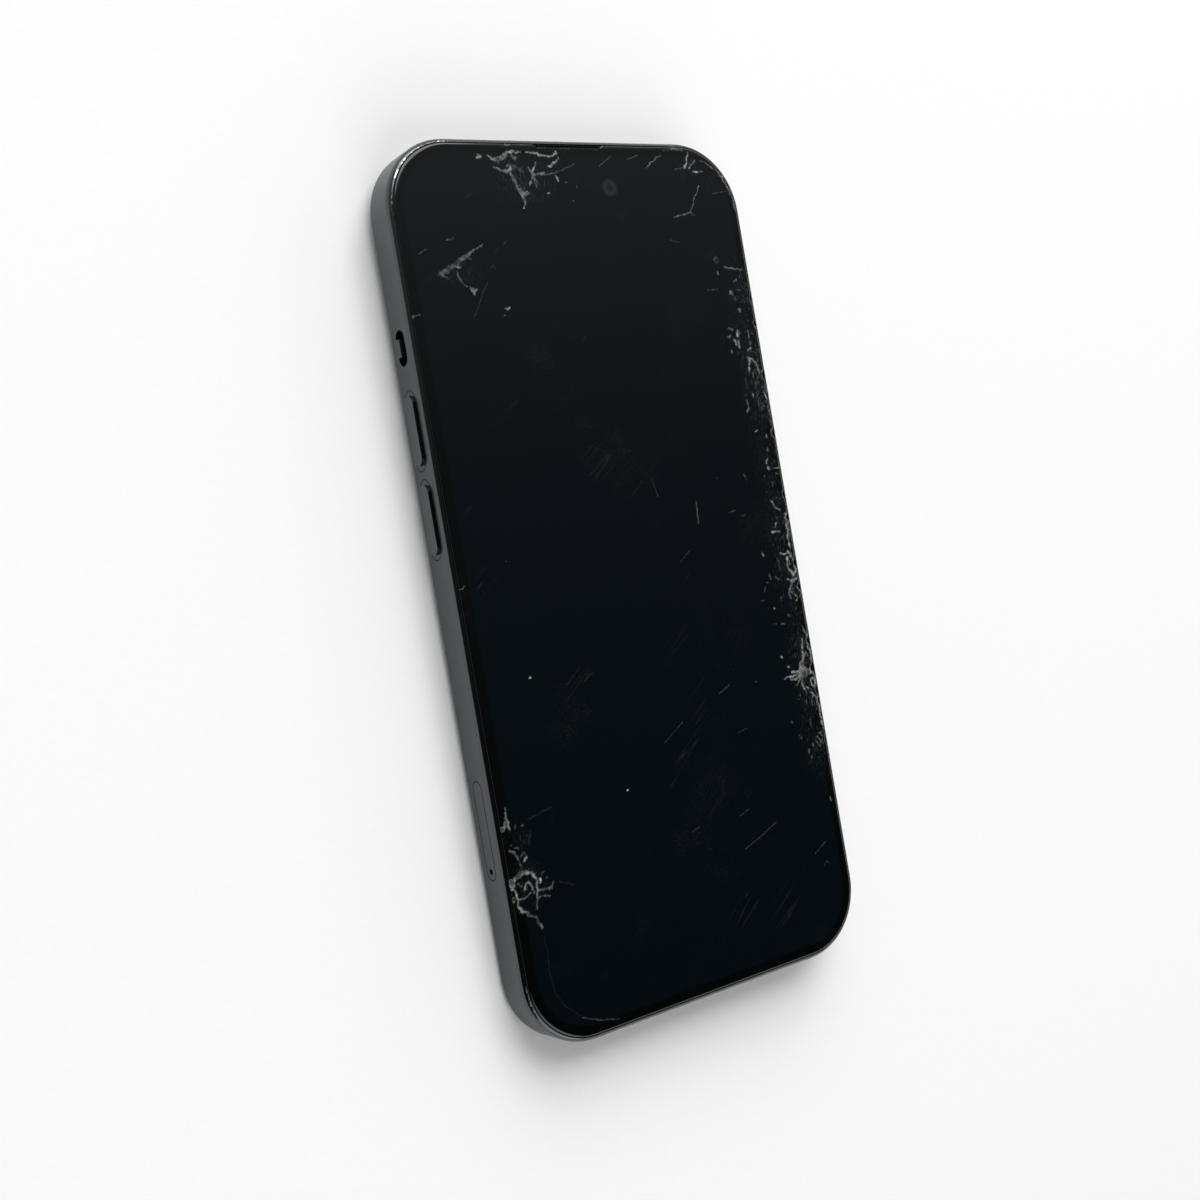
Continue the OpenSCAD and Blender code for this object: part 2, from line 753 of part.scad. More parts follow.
module bottom_speaker() {
    right = half_w - 10.4;
    color(dark_grey) difference() {
        union() {
            span_box(first_hole - 2, right, -inner_y + 0.4, module_low_y, z_back_in + 0.5,
                z_plate - gap);
            span_box(right - over, inner_x - 2.3, module_low_y - 8.5, module_low_y,
                z_back_in + 0.5, z_plate - gap);
        }
        span_box(first_hole - 1, first_hole + hole_pitch * (hole_n - 1) + 1, -inner_y,
            -inner_y + 1.4, z_tray - 1, z_tray + 1);
    }
}

module haptic_motor() {
    color(steel) span_box(-inner_x + 2.3, -first_hole + 1, port_flex_y + 4 * gap, module_low_y,
        z_back_in + 0.7, z_plate - gap);
}

module microphone() {
    color(steel) span_box(-first_hole - 7, -first_hole - 1, -inner_y + 0.4, -inner_y + 3.8,
        z_tray - port_h / 2 - gap, z_plate - 0.5);
}

module dust_mesh(side) {
    color(black) span_box(side > 0 ? first_hole - 1.2 : -first_hole - hole_pitch * (hole_n - 1) - 1.2,
        side > 0 ? first_hole + hole_pitch * (hole_n - 1) + 1.2 : -first_hole + 1.2,
        -inner_y, -inner_y + sheet_t, z_tray - hole_d / 2 - 0.4, z_tray + hole_d / 2 + 0.4);
}

module case_screws() {
    color(steel) for (side = [-1, 1]) difference() {
        union() {
            rod_y(side * case_screw_x, z_tray, -half_l + 0.2, -half_l + 0.8, head_r);
            rod_y(side * case_screw_x, z_tray, -half_l + 0.7, lug_y + lug_t, shank_r);
        }
        for (turn = [0, 90]) translate([side * case_screw_x, -half_l, z_tray])
            rotate([0, turn, 0]) cube([1.2, 1, 0.3], center = true);
    }
}

// ---- side controls ----

module dome(side, y) {
    rod_x(y, z_key, side > 0 ? flex_x - gap : -dome_x, side > 0 ? dome_x : -flex_x + gap,
        dome_r);
}

module volume_flex() {
    color(flex_colour) {
        span_box(-flex_x, -flex_x + sheet_t, vol_down_y - 7, mute_y + 5, z_key - 1.6,
            z_plate - gap);
        dome(-1, vol_up_y);
        dome(-1, vol_down_y);
    }
}

module side_flex() {
    color(flex_colour) {
        span_box(flex_x - sheet_t, flex_x, power_y - 9, power_y + 9, z_key - 1.6,
            z_plate - gap);
        dome(1, power_y);
    }
}

module mute_switch_body() {
    color(black) span_box(-flex_x - 0.5, -flex_x, mute_y - 3.4, mute_y + 3.4, z_back_in + 0.4,
        z_plate - gap);
}

// sprung button in its slot: side -1 left, 1 right
module key(side, y, l) {
    x_out = half_w + key_proud;
    x_in = inner_x - gap / 2 - flange_t;
    mirror([side < 0 ? 1 : 0, 0, 0]) {
        key_block(x_in, x_out, y, z_key, l, key_w);
        span_box(x_in, x_in + flange_t, y - l / 2 - flange_lip, y + l / 2 + flange_lip,
            z_key - key_w / 2 - 0.4, z_key + key_w / 2 + gap);
    }
}

module mute_switch() {
    x_in = inner_x - gap / 2 - flange_t;
    color(band_colour) mirror([1, 0, 0]) {
        span_box(x_in, half_w + mute_proud, mute_y - mute_l / 2 + mute_w / 2 + slide,
            mute_y + mute_l / 2 - mute_w / 2 - slide, knob_z, knob_z + knob_h);
        span_box(x_in, x_in + flange_t, mute_y - mute_l / 2 - 0.5, mute_y + mute_l / 2 + 0.5,
            z_plate - gap / 2 - mute_travel - mute_base_h, z_plate - gap / 2 - mute_travel);
    }
}

module card_tray() {
    end_x = -half_w + tray_reach;
    root_x = -inner_x - 0.2;
    z0 = z_tray - blade_t / 2;
    pocket_l = blade_w - 0.8;
    color(band_colour) difference() {
        union() {
            key_block(-half_w, root_x, tray_cy, z_tray, tray_l, tray_w);
            span_box(root_x - over, end_x, blade_cy - blade_w / 2, blade_cy + blade_w / 2, z0,
                z0 + blade_t);
        }
        span_box(end_x - 10, end_x - 1, blade_cy - pocket_l / 2, blade_cy + pocket_l / 2,
            z0 + 0.3, z0 + blade_t + over);
        span_box(end_x - 9.2, end_x - 1.8, blade_cy - pocket_l / 2 + 0.8,
            blade_cy + pocket_l / 2 - 0.8, z0 - over, z0 + 1);
        rod_x(pin_y, z_tray, -half_w - over, root_x + over, pin_d / 2);
        difference() {
            key_block(-half_w + seal_x, -half_w + seal_x + seal_w, tray_cy, z_tray,
                tray_l + over, tray_w + over);
            key_block(-half_w + seal_x - over, -half_w + seal_x + seal_w + over, tray_cy,
                z_tray, tray_l - 2 * seal_w, tray_w - 2 * seal_w);
        }
    }
}

module card_tray_seal() {
    color(black) difference() {
        key_block(-half_w + seal_x + gap / 2, -half_w + seal_x + seal_w - gap / 2, tray_cy,
            z_tray, tray_l + slide, tray_w + slide);
        key_block(-half_w + seal_x - over, -half_w + seal_x + seal_w + over, tray_cy, z_tray,
            tray_l - 2 * seal_w, tray_w - 2 * seal_w);
    }
}

mid_frame();
antenna_strip(-1, 1);  // strip_top_left
antenna_strip(1, 1);  // strip_top_right
antenna_strip(-1, -1);  // strip_bottom_left
antenna_strip(1, -1);  // strip_bottom_right
cover_glass();
display_panel();
display_trim();
display_seal();
display_flex();
earpiece_mesh();
earpiece_speaker();
front_camera();
front_sensor();
back_panel();
back_seal();
lens_ring(lens_main_y);  // lens_ring_main
lens_ring(lens_wide_y);  // lens_ring_wide
lens_glass(lens_main_y);  // lens_glass_main
lens_glass(lens_wide_y);  // lens_glass_wide
flash_window();
flash_led();
rear_camera(lens_main_y, main_module);  // rear_camera_main
rear_camera(lens_wide_y, wide_module);  // rear_camera_wide
camera_bracket();
battery();
battery_tabs();
battery_lead();
main_board();
chip(shield_mid, 15, 13, 14, 0.9);  // processor
chip(shield_mid, -15, 12, 13, 0.9);  // storage_chip
chip(shield_mid + 12, wing_low_y + 13, 9, 9, 0.8);  // radio_chip
shield(shield_left, shield_right, 1, wing_low_y - 4, shield_h);  // shield_upper
shield(shield_left, shield_right, tray_cy + reader_w / 2 + 2, -2, shield_h);  // shield_lower
shield(shield_left + 2, wing_right - 4, wing_low_y + 2, board_top_y - 5, shield_h);  // shield_wing
board_screws();
card_reader();
charging_coil();
port_shell();
port_tongue();
port_flex();
bottom_speaker();
haptic_motor();
microphone();
dust_mesh(1);  // speaker_mesh
dust_mesh(-1);  // microphone_mesh
case_screws();
volume_flex();
side_flex();
mute_switch_body();
color(band_colour) key(-1, vol_up_y, vol_l);  // volume_up_button
color(band_colour) key(-1, vol_down_y, vol_l);  // volume_down_button
color(band_colour) key(1, power_y, power_l);  // side_button
mute_switch();
card_tray();
card_tray_seal();
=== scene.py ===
# %% [markdown]
# # A phone with a shattered screen
# The phone lies on its back: a dark anodised frame, a frosted back with a raised camera
# step, and a front glass broken along its right edge and in three corners. The frame,
# buttons, lenses and everything inside come from the CAD model. This lesson gives them
# finishes, and makes the front glass again with its cracks, chips and crushed edge.

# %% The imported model
import json
from itertools import combinations

import bpy
import numpy as np
from mathutils import Matrix, Vector


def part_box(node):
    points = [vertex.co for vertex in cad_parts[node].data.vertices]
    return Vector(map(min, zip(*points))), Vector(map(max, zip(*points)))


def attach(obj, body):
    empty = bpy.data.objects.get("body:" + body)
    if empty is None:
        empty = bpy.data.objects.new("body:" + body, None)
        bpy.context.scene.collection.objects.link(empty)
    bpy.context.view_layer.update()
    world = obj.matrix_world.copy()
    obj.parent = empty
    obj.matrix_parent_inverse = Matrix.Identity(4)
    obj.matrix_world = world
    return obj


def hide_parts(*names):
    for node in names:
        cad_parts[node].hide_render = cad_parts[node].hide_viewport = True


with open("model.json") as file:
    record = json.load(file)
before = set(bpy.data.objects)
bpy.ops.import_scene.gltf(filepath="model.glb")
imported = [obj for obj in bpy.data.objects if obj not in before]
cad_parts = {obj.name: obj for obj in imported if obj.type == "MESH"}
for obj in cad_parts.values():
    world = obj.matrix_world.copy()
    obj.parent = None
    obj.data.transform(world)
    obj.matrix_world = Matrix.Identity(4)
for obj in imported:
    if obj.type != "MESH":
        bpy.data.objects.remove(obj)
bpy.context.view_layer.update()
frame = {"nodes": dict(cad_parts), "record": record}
MM = 0.001

# %% [markdown]
# ## Camera
# The phone is seen from its left and from above, rolled as if it leaned on a stand.
# A camera is a place, three axes and a focal length, so its matrix is written directly:
# the columns are what lies to its right, what lies above it, and what lies behind it.

# %% Camera
view_right = Vector((0.81585, -0.16838, 0.55321))
view_up = Vector((0.14631, 0.98565, 0.08423))
view_ahead = Vector((0.55945, -0.01222, -0.82877))
lens = bpy.data.cameras.new("view")
lens.sensor_width, lens.lens = 36, 46.357
lens.clip_start, lens.clip_end = 0.01, 50
camera = bpy.data.objects.new("camera", lens)
axes = Matrix((view_right, view_up, -view_ahead)).transposed()
camera.matrix_world = Matrix.Translation((-0.15299, -0.00071, 0.22293)) @ axes.to_4x4()
bpy.context.scene.collection.objects.link(camera)
bpy.context.scene.camera = camera
print("camera height over the phone:", round(camera.matrix_world.translation.z / MM), "mm")

# %% [markdown]
# ## Reading and writing meshes as whole arrays
# Every new surface below is a numpy array of points and an array of faces. Two helpers
# move arrays between numpy and Blender in one call each, with no loop over points.

# %% Mesh helpers
def points_of(node):
    """All points of a CAD part, one row each."""
    mesh = frame["nodes"][node].data
    flat = np.empty(len(mesh.vertices) * 3)
    mesh.vertices.foreach_get("co", flat)
    return flat.reshape(-1, 3)


def make_piece(name, points, corners, sizes, material, **layers):
    """A mesh object from its points, the corners of its faces one after the other, the
    number of corners of each face, and any named layers of one value for each point."""
    mesh = bpy.data.meshes.new(name)
    mesh.vertices.add(len(points))
    mesh.vertices.foreach_set("co", np.asarray(points, np.float32).ravel())
    mesh.loops.add(len(corners))
    mesh.loops.foreach_set("vertex_index", np.asarray(corners, np.int32))
    mesh.polygons.add(len(sizes))
    starts = np.concatenate([[0], np.cumsum(sizes)[:-1]])
    mesh.polygons.foreach_set("loop_start", starts.astype(np.int32))
    mesh.update(calc_edges=True)
    mesh.validate()
    mesh.polygons.foreach_set("use_smooth", np.ones(len(mesh.polygons), bool))
    for layer, values in layers.items():
        store = mesh.attributes.new(layer, "FLOAT", "POINT")
        store.data.foreach_set("value", np.asarray(values, np.float32))
    mesh.materials.append(material)
    piece = bpy.data.objects.new(name, mesh)
    bpy.context.scene.collection.objects.link(piece)
    print(name, "has", len(mesh.vertices), "points and", len(mesh.polygons), "faces")
    return piece


# %% [markdown]
# ## How a phone rests on its back
# The raised lenses keep the top end off the table, so a phone on its back leans by
# about a degree. The table is the plane through three low points that passes under all
# the others, with the middle of the weight over them. The points to try are those that
# come lowest when the phone is tipped a little in every direction, and the plane wanted
# is the highest one under the middle of the phone with no other such point below it.

# %% Resting plane
skin = np.concatenate([points_of(name) for name in frame["nodes"]])
turns = np.linspace(0, 2 * np.pi, 72, endpoint=False)
slopes = np.tan(np.radians([0.4, 0.8, 1.5, 3, 6]))
tips = (slopes[:, None, None] * np.stack([np.cos(turns), np.sin(turns)], -1)).reshape(-1, 2)
low = skin[np.unique([np.argmin(skin[:, 2] - skin[:, :2] @ tip) for tip in tips])]
first, second, third = low[np.array(list(combinations(range(len(low)), 3)))].transpose(1, 0, 2)
across = np.cross(second - first, third - first)
proper = np.abs(across[:, 2]) > 1e-9
lean = -across[proper, :2] / across[proper, 2:]
level = first[proper, 2] - (lean * first[proper, :2]).sum(1)
spare = low[:, 2] - (lean @ low[:, :2].T + level[:, None])
best = np.argmax(np.where(spare.min(1) > -1e-7, level, -1))
lean, level = lean[best], level[best]
print("the phone leans by", np.degrees(np.arctan(lean)).round(2), "degrees")

# %% [markdown]
# ## Building finishes from nodes
# A finish is a small tree of shader nodes. `feed_in` gives the sockets of a node their
# values, or links them to the outputs of other nodes, and `add` places one node and
# feeds it. The helpers after them are the steps that nearly every finish needs:
# arithmetic, a change of range, a mix of two colours, the point's place, and noise.

# %% Node helpers
def feed_in(tree, node, feeds):
    """The sockets of a node fed, each with a value or with the output of another node."""
    for socket, feed in feeds.items():
        if isinstance(feed, bpy.types.NodeSocket):
            tree.links.new(feed, node.inputs[socket])
        else:
            node.inputs[socket].default_value = feed


def add(tree, kind, feeds=None, **settings):
    """One shader node with its settings and its feeds."""
    node = tree.nodes.new("ShaderNode" + kind)
    for name, value in settings.items():
        setattr(node, name, value)
    feed_in(tree, node, feeds or {})
    return node


def calc(tree, operation, *feeds, clamp=False):
    """The result of one arithmetic node."""
    node = add(tree, "Math", dict(enumerate(feeds)), operation=operation, use_clamp=clamp)
    return node.outputs[0]


def span(tree, feed, low_in, high_in, low_out=0.0, high_out=1.0):
    """A value moved from one range to another, and held inside the new one."""
    names = ("Value", "From Min", "From Max", "To Min", "To Max")
    feeds = dict(zip(names, (feed, low_in, high_in, low_out, high_out)))
    return add(tree, "MapRange", feeds).outputs["Result"]


def mix(tree, share, one, other):
    """A colour between two others."""
    one, other = (c if isinstance(c, bpy.types.NodeSocket) else (*c, 1) for c in (one, other))
    return add(tree, "Mix", {0: share, 6: one, 7: other}, data_type="RGBA").outputs[2]


def place(tree):
    """The point's place on the phone, in metres, with the phone's own axes."""
    return add(tree, "TexCoord").outputs["Object"]


def place_parts(tree):
    """The point's place as three numbers, X, Y and Z."""
    return add(tree, "SeparateXYZ", {0: place(tree)}).outputs


def noise(tree, scale, detail, at=None, **more):
    """Smooth noise from 0 to 1, with `scale` bumps to a metre and `detail` finer layers
    on them, at the point's own place or at another one."""
    feeds = {"Vector": place(tree) if at is None else at, "Scale": scale, "Detail": detail}
    return add(tree, "TexNoise", {**feeds, **more}).outputs[0]


# %% [markdown]
# ## Effects that several finishes share
# Fine grain, rubbed edges, scratches, settled dust and the smears of fingers turn up on
# many parts at different strengths. Each is a node group, built once, with named
# sockets. A group only gives out masks; the shader itself stays in each material.

# %% Helpers for shared effects
def effect(name, inputs, output):
    """An empty node group with number inputs and one number output, and its two ends."""
    group = bpy.data.node_groups.new(name, "ShaderNodeTree")
    for label, value in inputs.items():
        group.interface.new_socket(
            label, in_out="INPUT", socket_type="NodeSocketFloat"
        ).default_value = value
    group.interface.new_socket(output, in_out="OUTPUT", socket_type="NodeSocketFloat")
    ends = group.nodes.new("NodeGroupInput"), group.nodes.new("NodeGroupOutput")
    return group, ends[0].outputs, ends[1].inputs


def use(tree, group, **feeds):
    """A shared effect placed in a material, and its output."""
    named = {label.capitalize(): feed for label, feed in feeds.items()}
    return add(tree, "Group", named, node_tree=group).outputs[0]


# %% Grain and rubbed edges
# Grain: plain noise, its cells "Size" millimetres across
fine_grain, given, result = effect("fine_grain", {"Size": 0.2}, "Grain")
scale = calc(fine_grain, "DIVIDE", 1 / MM, given["Size"])
fine_grain.links.new(noise(fine_grain, scale, 3), result["Grain"])

# Rubbed edges: where a rounded-off normal turns away from the true one, broken by noise
rubbed_edges, given, result = effect("rubbed_edges", {"Width": 0.3, "Amount": 0.5}, "Mask")
radius = calc(rubbed_edges, "MULTIPLY", given["Width"], MM)
rounded = add(rubbed_edges, "Bevel", {"Radius": radius}, samples=4).outputs[0]
true_normal = add(rubbed_edges, "NewGeometry").outputs["Normal"]
bend = add(rubbed_edges, "VectorMath", {0: rounded, 1: true_normal}, operation="DOT_PRODUCT")
bend = span(rubbed_edges, bend.outputs["Value"], 0.995, 0.90)
limit = calc(rubbed_edges, "MULTIPLY", given["Amount"], 0.5)
limit = calc(rubbed_edges, "SUBTRACT", 0.75, limit)
breaks = calc(rubbed_edges, "GREATER_THAN", noise(rubbed_edges, 900, 4), limit)
rubbed_edges.links.new(calc(rubbed_edges, "MULTIPLY", bend, breaks), result["Mask"])

# %% Scratches
# Scratches: noise drawn out along one direction, of which only thin ridges are kept
hairlines, given, result = effect(
    "hairlines", {"Spacing": 2, "Stretch": 18, "Turn": 0.5, "Cover": 0.3}, "Mask")
rotated = add(hairlines, "VectorRotate", {"Vector": place(hairlines), "Angle": given["Turn"]},
              rotation_type="Z_AXIS")
parts = add(hairlines, "SeparateXYZ", {0: rotated.outputs[0]}).outputs
drawn = add(hairlines, "CombineXYZ", {
    "X": parts["X"], "Y": calc(hairlines, "DIVIDE", parts["Y"], given["Stretch"]),
    "Z": parts["Z"]}).outputs[0]
ridge = noise(hairlines, calc(hairlines, "DIVIDE", 1 / MM, given["Spacing"]), 2, drawn)
ridge = calc(hairlines, "ABSOLUTE", calc(hairlines, "SUBTRACT", ridge, 0.5))
ridge = span(hairlines, ridge, 0.008, 0.0)
gate = calc(hairlines, "SUBTRACT", 0.8, calc(hairlines, "MULTIPLY", given["Cover"], 0.6))
gate = span(hairlines, calc(hairlines, "SUBTRACT", noise(hairlines, 90, 2), gate), 0.0, 0.08)
hairlines.links.new(calc(hairlines, "MULTIPLY", ridge, gate), result["Mask"])

# %% Dust and smears
# Dust: fine specks, thicker where a broad noise is high
settled_dust, given, result = effect("settled_dust", {"Patch": 12, "Cover": 0.3}, "Mask")
broad = noise(settled_dust, calc(settled_dust, "DIVIDE", 1 / MM, given["Patch"]), 3)
grain = calc(settled_dust, "MULTIPLY", broad, noise(settled_dust, 5200, 1))
limit = calc(settled_dust, "MULTIPLY", given["Cover"], 0.2)
limit = calc(settled_dust, "SUBTRACT", 0.42, limit)
dust = span(settled_dust, calc(settled_dust, "SUBTRACT", grain, limit), 0.0, 0.06)
settled_dust.links.new(dust, result["Mask"])

# Finger smears: broad, swirled noise
finger_smears, given, result = effect("finger_smears", {"Size": 18}, "Mask")
scale = calc(finger_smears, "DIVIDE", 1 / MM, given["Size"])
swirl = span(finger_smears, noise(finger_smears, scale, 4, Distortion=1.5), 0.45, 0.62)
finger_smears.links.new(swirl, result["Mask"])
print("shared effects:", [group.name for group in bpy.data.node_groups])

# %% [markdown]
# ## One way to make a finish
# Most finishes differ only in numbers: two tones that the grain moves between, a range
# of roughness, how deep the grain is, how far the edges are rubbed, and how much dust
# and scratching lies on top. `finish` builds such a material. A pattern of its own, such
# as brushing or a weave, is a function that takes the tree and gives a value from 0 to 1.

# %% The finish builder
finishes = {}
DUST = (0.42, 0.41, 0.38)


def new_finish(slot):
    """A new material, kept under the name of its slot, as its tree and its shader."""
    material = finishes[slot] = bpy.data.materials.new(slot)
    material.use_nodes = True
    return material.node_tree, material.node_tree.nodes["Principled BSDF"]


def finish(slot, dark, light, rough, metal=0.0, grain=0.25, depth=0.004, worn=None, edge=0.25,
           amount=0.4, scratched=0.0, dusty=0.0, pattern=None, coat=0.0):
    """A material of two tones moved between by grain or by its own pattern, with relief,
    rubbed edges, scratches and dust. Returns the tree and its shader for later changes."""
    tree, shader = new_finish(slot)
    speck = use(tree, fine_grain, size=grain)
    value = pattern(tree) if pattern else speck
    tone = mix(tree, value, dark, light)
    roughness = span(tree, speck, 0.3, 0.7, *rough)
    if scratched:
        lines = use(tree, hairlines, cover=scratched, turn=0.7)
        tone = mix(tree, lines, tone, tuple(min(1.0, 2.2 * c + 0.05) for c in light))
        roughness = calc(tree, "ADD", roughness, calc(tree, "MULTIPLY", lines, 0.2))
    if worn:
        rubbed = use(tree, rubbed_edges, width=edge, amount=amount)
        tone = mix(tree, rubbed, tone, worn)
    if dusty:
        dust = use(tree, settled_dust, cover=dusty)
        tone = mix(tree, calc(tree, "MULTIPLY", dust, 0.5), tone, DUST)
        roughness = calc(tree, "ADD", roughness, calc(tree, "MULTIPLY", dust, 0.3))
    relief = add(tree, "Bump", {"Height": value, "Distance": depth * MM, "Strength": 1.0})
    feed_in(tree, shader, {"Base Color": tone, "Roughness": roughness, "Metallic": metal,
                           "Normal": relief.outputs[0], "Coat Weight": coat})
    return tree, shader


def tint(tree, shader, share, colour):
    """Another colour mixed over the colour that a material has so far."""
    so_far = shader.inputs["Base Color"].links[0].from_socket
    feed_in(tree, shader, {"Base Color": mix(tree, share, so_far, colour)})


# %% [markdown]
# ## Patterns of making
# Turned parts have fine rings, brushed sheet has drawn-out lines, wire mesh is woven,
# a board shows its tracks through the lacquer, and a foil pouch is slightly wrinkled.

# %% Patterns
def wave_scale(pitch):
    """The scale of a wave texture whose bands are 2 pi times `pitch` millimetres apart: at
    a scale of 1 they are a tenth of pi metres apart."""
    return 0.05 / (pitch * MM)


def turned(x, y, pitch):
    """Rings round the point x, y on the phone, 2 pi times `pitch` millimetres apart."""
    def pattern(tree):
        centre = (-x * MM, -y * MM, 0)
        centred = add(tree, "Mapping", {"Vector": place(tree), "Location": centre}).outputs[0]
        feeds = {"Vector": centred, "Scale": wave_scale(pitch), "Distortion": 0.6}
        return add(tree, "TexWave", feeds, wave_type="RINGS", rings_direction="Z").outputs[1]
    return pattern


def drawn_out(tree, along):
    """The point's place, squeezed along an axis so that noise on it is drawn out there."""
    return add(tree, "Mapping", {"Vector": place(tree), "Scale": along}).outputs[0]


def brushed(pitch, along=(1, 0.04, 1)):
    """Noise drawn out along one axis, its lines `pitch` millimetres apart."""
    def pattern(tree):
        return noise(tree, 1 / (pitch * MM), 4, drawn_out(tree, along))
    return pattern


def woven(pitch):
    """Two sets of bands that cross, the higher of the two at each point."""
    def pattern(tree):
        feeds = {"Vector": place(tree), "Scale": wave_scale(pitch)}
        bands = [add(tree, "TexWave", feeds, bands_direction=way).outputs[1] for way in "XY"]
        return calc(tree, "MAXIMUM", *bands)
    return pattern


def cells(size, feature="F1"):
    """Cells `size` millimetres across: square ones, as of components and tracks, or with
    another feature round ones, as of creases."""
    measure = "CHEBYCHEV" if feature == "F1" else "EUCLIDEAN"

    def pattern(tree):
        feeds = {"Vector": place(tree), "Scale": 1 / (size * MM)}
        cell = add(tree, "TexVoronoi", feeds, feature=feature, distance=measure)
        return cell.outputs["Distance"]
    return pattern


# %% [markdown]
# ## The outside: frame, strips, back and lenses
# The frame is aluminium, blasted with fine beads and anodised nearly black. Anodising is
# a thin grown layer, so it goes through at the sharp rim and shows pale metal in dots.
# The back is glass, etched dull, with its colour behind it.

# %% Painted shade in the seams of the frame
# Half widths of the painted shade round each button and the card tray, standing in for the
# shadow in their gaps
SEAM_SHADES = {"volume_up_button": 0.16, "volume_down_button": 0.16, "side_button": 0.16,
         "card_tray_seal": 0.14}     # half width of the dark line round each, in mm


def seam_shade_line(tree, node, width):
    """A painted shade line along the outline of a part that fills a hole in a long side, as
    seen from that side: a point's distance to the part's box with half-round ends, kept where
    it is under `width` millimetres."""
    low, high = (np.array(corner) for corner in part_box(node))
    middle, half = (low + high)[1:] / 2, (high - low)[1:] / 2
    parts = place_parts(tree)
    away = [calc(tree, "ABSOLUTE", calc(tree, "SUBTRACT", part, centre))
            for part, centre in zip((parts["Y"], parts["Z"]), middle)]
    away[0] = calc(tree, "MAXIMUM", calc(tree, "SUBTRACT", away[0], half[0] - half[1]), 0.0)
    reach = calc(tree, "SQRT", calc(tree, "ADD", *(calc(tree, "MULTIPLY", a, a) for a in away)))
    off = calc(tree, "ABSOLUTE", calc(tree, "SUBTRACT", reach, half[1]))
    same_side = calc(tree, "SIGN", calc(tree, "MULTIPLY", parts["X"], (low + high)[0]))
    line = span(tree, off, width * MM, 0.4 * width * MM)
    return calc(tree, "MULTIPLY", line, same_side, clamp=True)


def painted_seam_shade(tree):
    """Painted shade in the seams where the three buttons and the card tray fill their holes."""
    lines = 0.0
    for node, width in SEAM_SHADES.items():
        lines = calc(tree, "MAXIMUM", lines, seam_shade_line(tree, node, width))
    return lines


# %% Wear of the frame
def edge_wear(tree):
    """Bright dots where the lip is worn at the upper left corner. They keep to the top of
    the lip, to the left of X = -20 mm and beyond a slanted line, where Y - X is large."""
    parts = place_parts(tree)
    top_of_lip = span(tree, parts["Z"], 9.42 * MM, 9.50 * MM)
    beyond = span(tree, calc(tree, "SUBTRACT", parts["Y"], parts["X"]), 95 * MM, 99 * MM)
    corner = calc(tree, "MULTIPLY", beyond, span(tree, parts["X"], -20 * MM, -22 * MM))
    feeds = {"Vector": place(tree), "Scale": 1000, "Randomness": 0.6}
    dots = span(tree, add(tree, "TexVoronoi", feeds).outputs["Distance"], 0.42, 0.30)
    return calc(tree, "MULTIPLY", calc(tree, "MULTIPLY", top_of_lip, corner), dots)


# %% Outer finishes
LIP = (8.5 * MM, 8.9 * MM)     # heights between which the satin side turns to polished lip
tree, shader = finish(
    "frame_alloy", (0.070, 0.080, 0.082), (0.086, 0.098, 0.100), (0.28, 0.38), metal=1.0,
    grain=0.09, depth=0.002, worn=(0.42, 0.43, 0.43), edge=0.12, amount=0.12)
satin = shader.inputs["Roughness"].links[0].from_socket
polish = span(tree, place_parts(tree)["Z"], *LIP, 1.0, 0.5)
feed_in(tree, shader, {"Roughness": calc(tree, "MULTIPLY", satin, polish)})
# Painted shade: near black where the buttons and the card tray meet the frame
tint(tree, shader, painted_seam_shade(tree), (0.004, 0.004, 0.004))
tint(tree, shader, edge_wear(tree), (0.62, 0.63, 0.60))
finish("antenna_resin", (0.050, 0.053, 0.054), (0.070, 0.074, 0.076), (0.5, 0.65), grain=0.15)
finish("back_glass", (0.030, 0.034, 0.036), (0.040, 0.045, 0.047), (0.34, 0.48), grain=0.12,
       depth=0.002, worn=(0.3, 0.31, 0.31), edge=0.15, scratched=0.35, dusty=0.06)
finish("ring_alloy", (0.07, 0.077, 0.08), (0.13, 0.14, 0.145), (0.22, 0.34), metal=0.9,
       pattern=brushed(0.15, (1, 1, 0.05)), depth=0.003, worn=(0.5, 0.5, 0.5), amount=0.3)
finish("lens_glass", (0.003, 0.004, 0.009), (0.010, 0.008, 0.022), (0.03, 0.07), grain=3,
       depth=0.001, dusty=0.12, coat=1.0)
finish("flash_lens", (0.60, 0.56, 0.44), (0.78, 0.75, 0.65), (0.2, 0.35), pattern=cells(0.5),
       depth=0.03, dusty=0.1)
print("outer finishes:", sorted(finishes))

# %% [markdown]
# ## The inside
# What is under the glass is seen only when the model is taken apart. It is finished plainly:
# lacquered board, moulded chips, pressed steel, foil, film and foam. The black trim and the
# earpiece mesh also carry painted shade.

# %% Inner finishes
finish("display_black", (0.003, 0.003, 0.004), (0.008, 0.008, 0.010), (0.12, 0.2), grain=0.6)
# Trim and earpiece mesh are black, with painted shade of the earpiece slit that makes them
# darker than black plastic
tree, shader = finish("trim_black", (0.003, 0.003, 0.003), (0.007, 0.007, 0.007), (0.6, 0.8),
                      grain=0.2)
shader.inputs["Specular IOR Level"].default_value = 0.15
finish("seal_black", (0.012, 0.012, 0.012), (0.030, 0.030, 0.030), (0.8, 0.95),
       pattern=cells(0.12), depth=0.02)
finish("flex_film", (0.13, 0.045, 0.012), (0.24, 0.10, 0.03), (0.25, 0.4),
       pattern=brushed(0.25, (1, 0.05, 1)), depth=0.006, coat=0.4)
tree, shader = finish("mesh_black", (0.001, 0.001, 0.001), (0.006, 0.006, 0.006), (0.6, 0.8),
                      pattern=woven(0.16), depth=0.03)
shader.inputs["Specular IOR Level"].default_value = 0.08
finish("module_grey", (0.030, 0.032, 0.034), (0.048, 0.050, 0.054), (0.45, 0.6), grain=0.15)
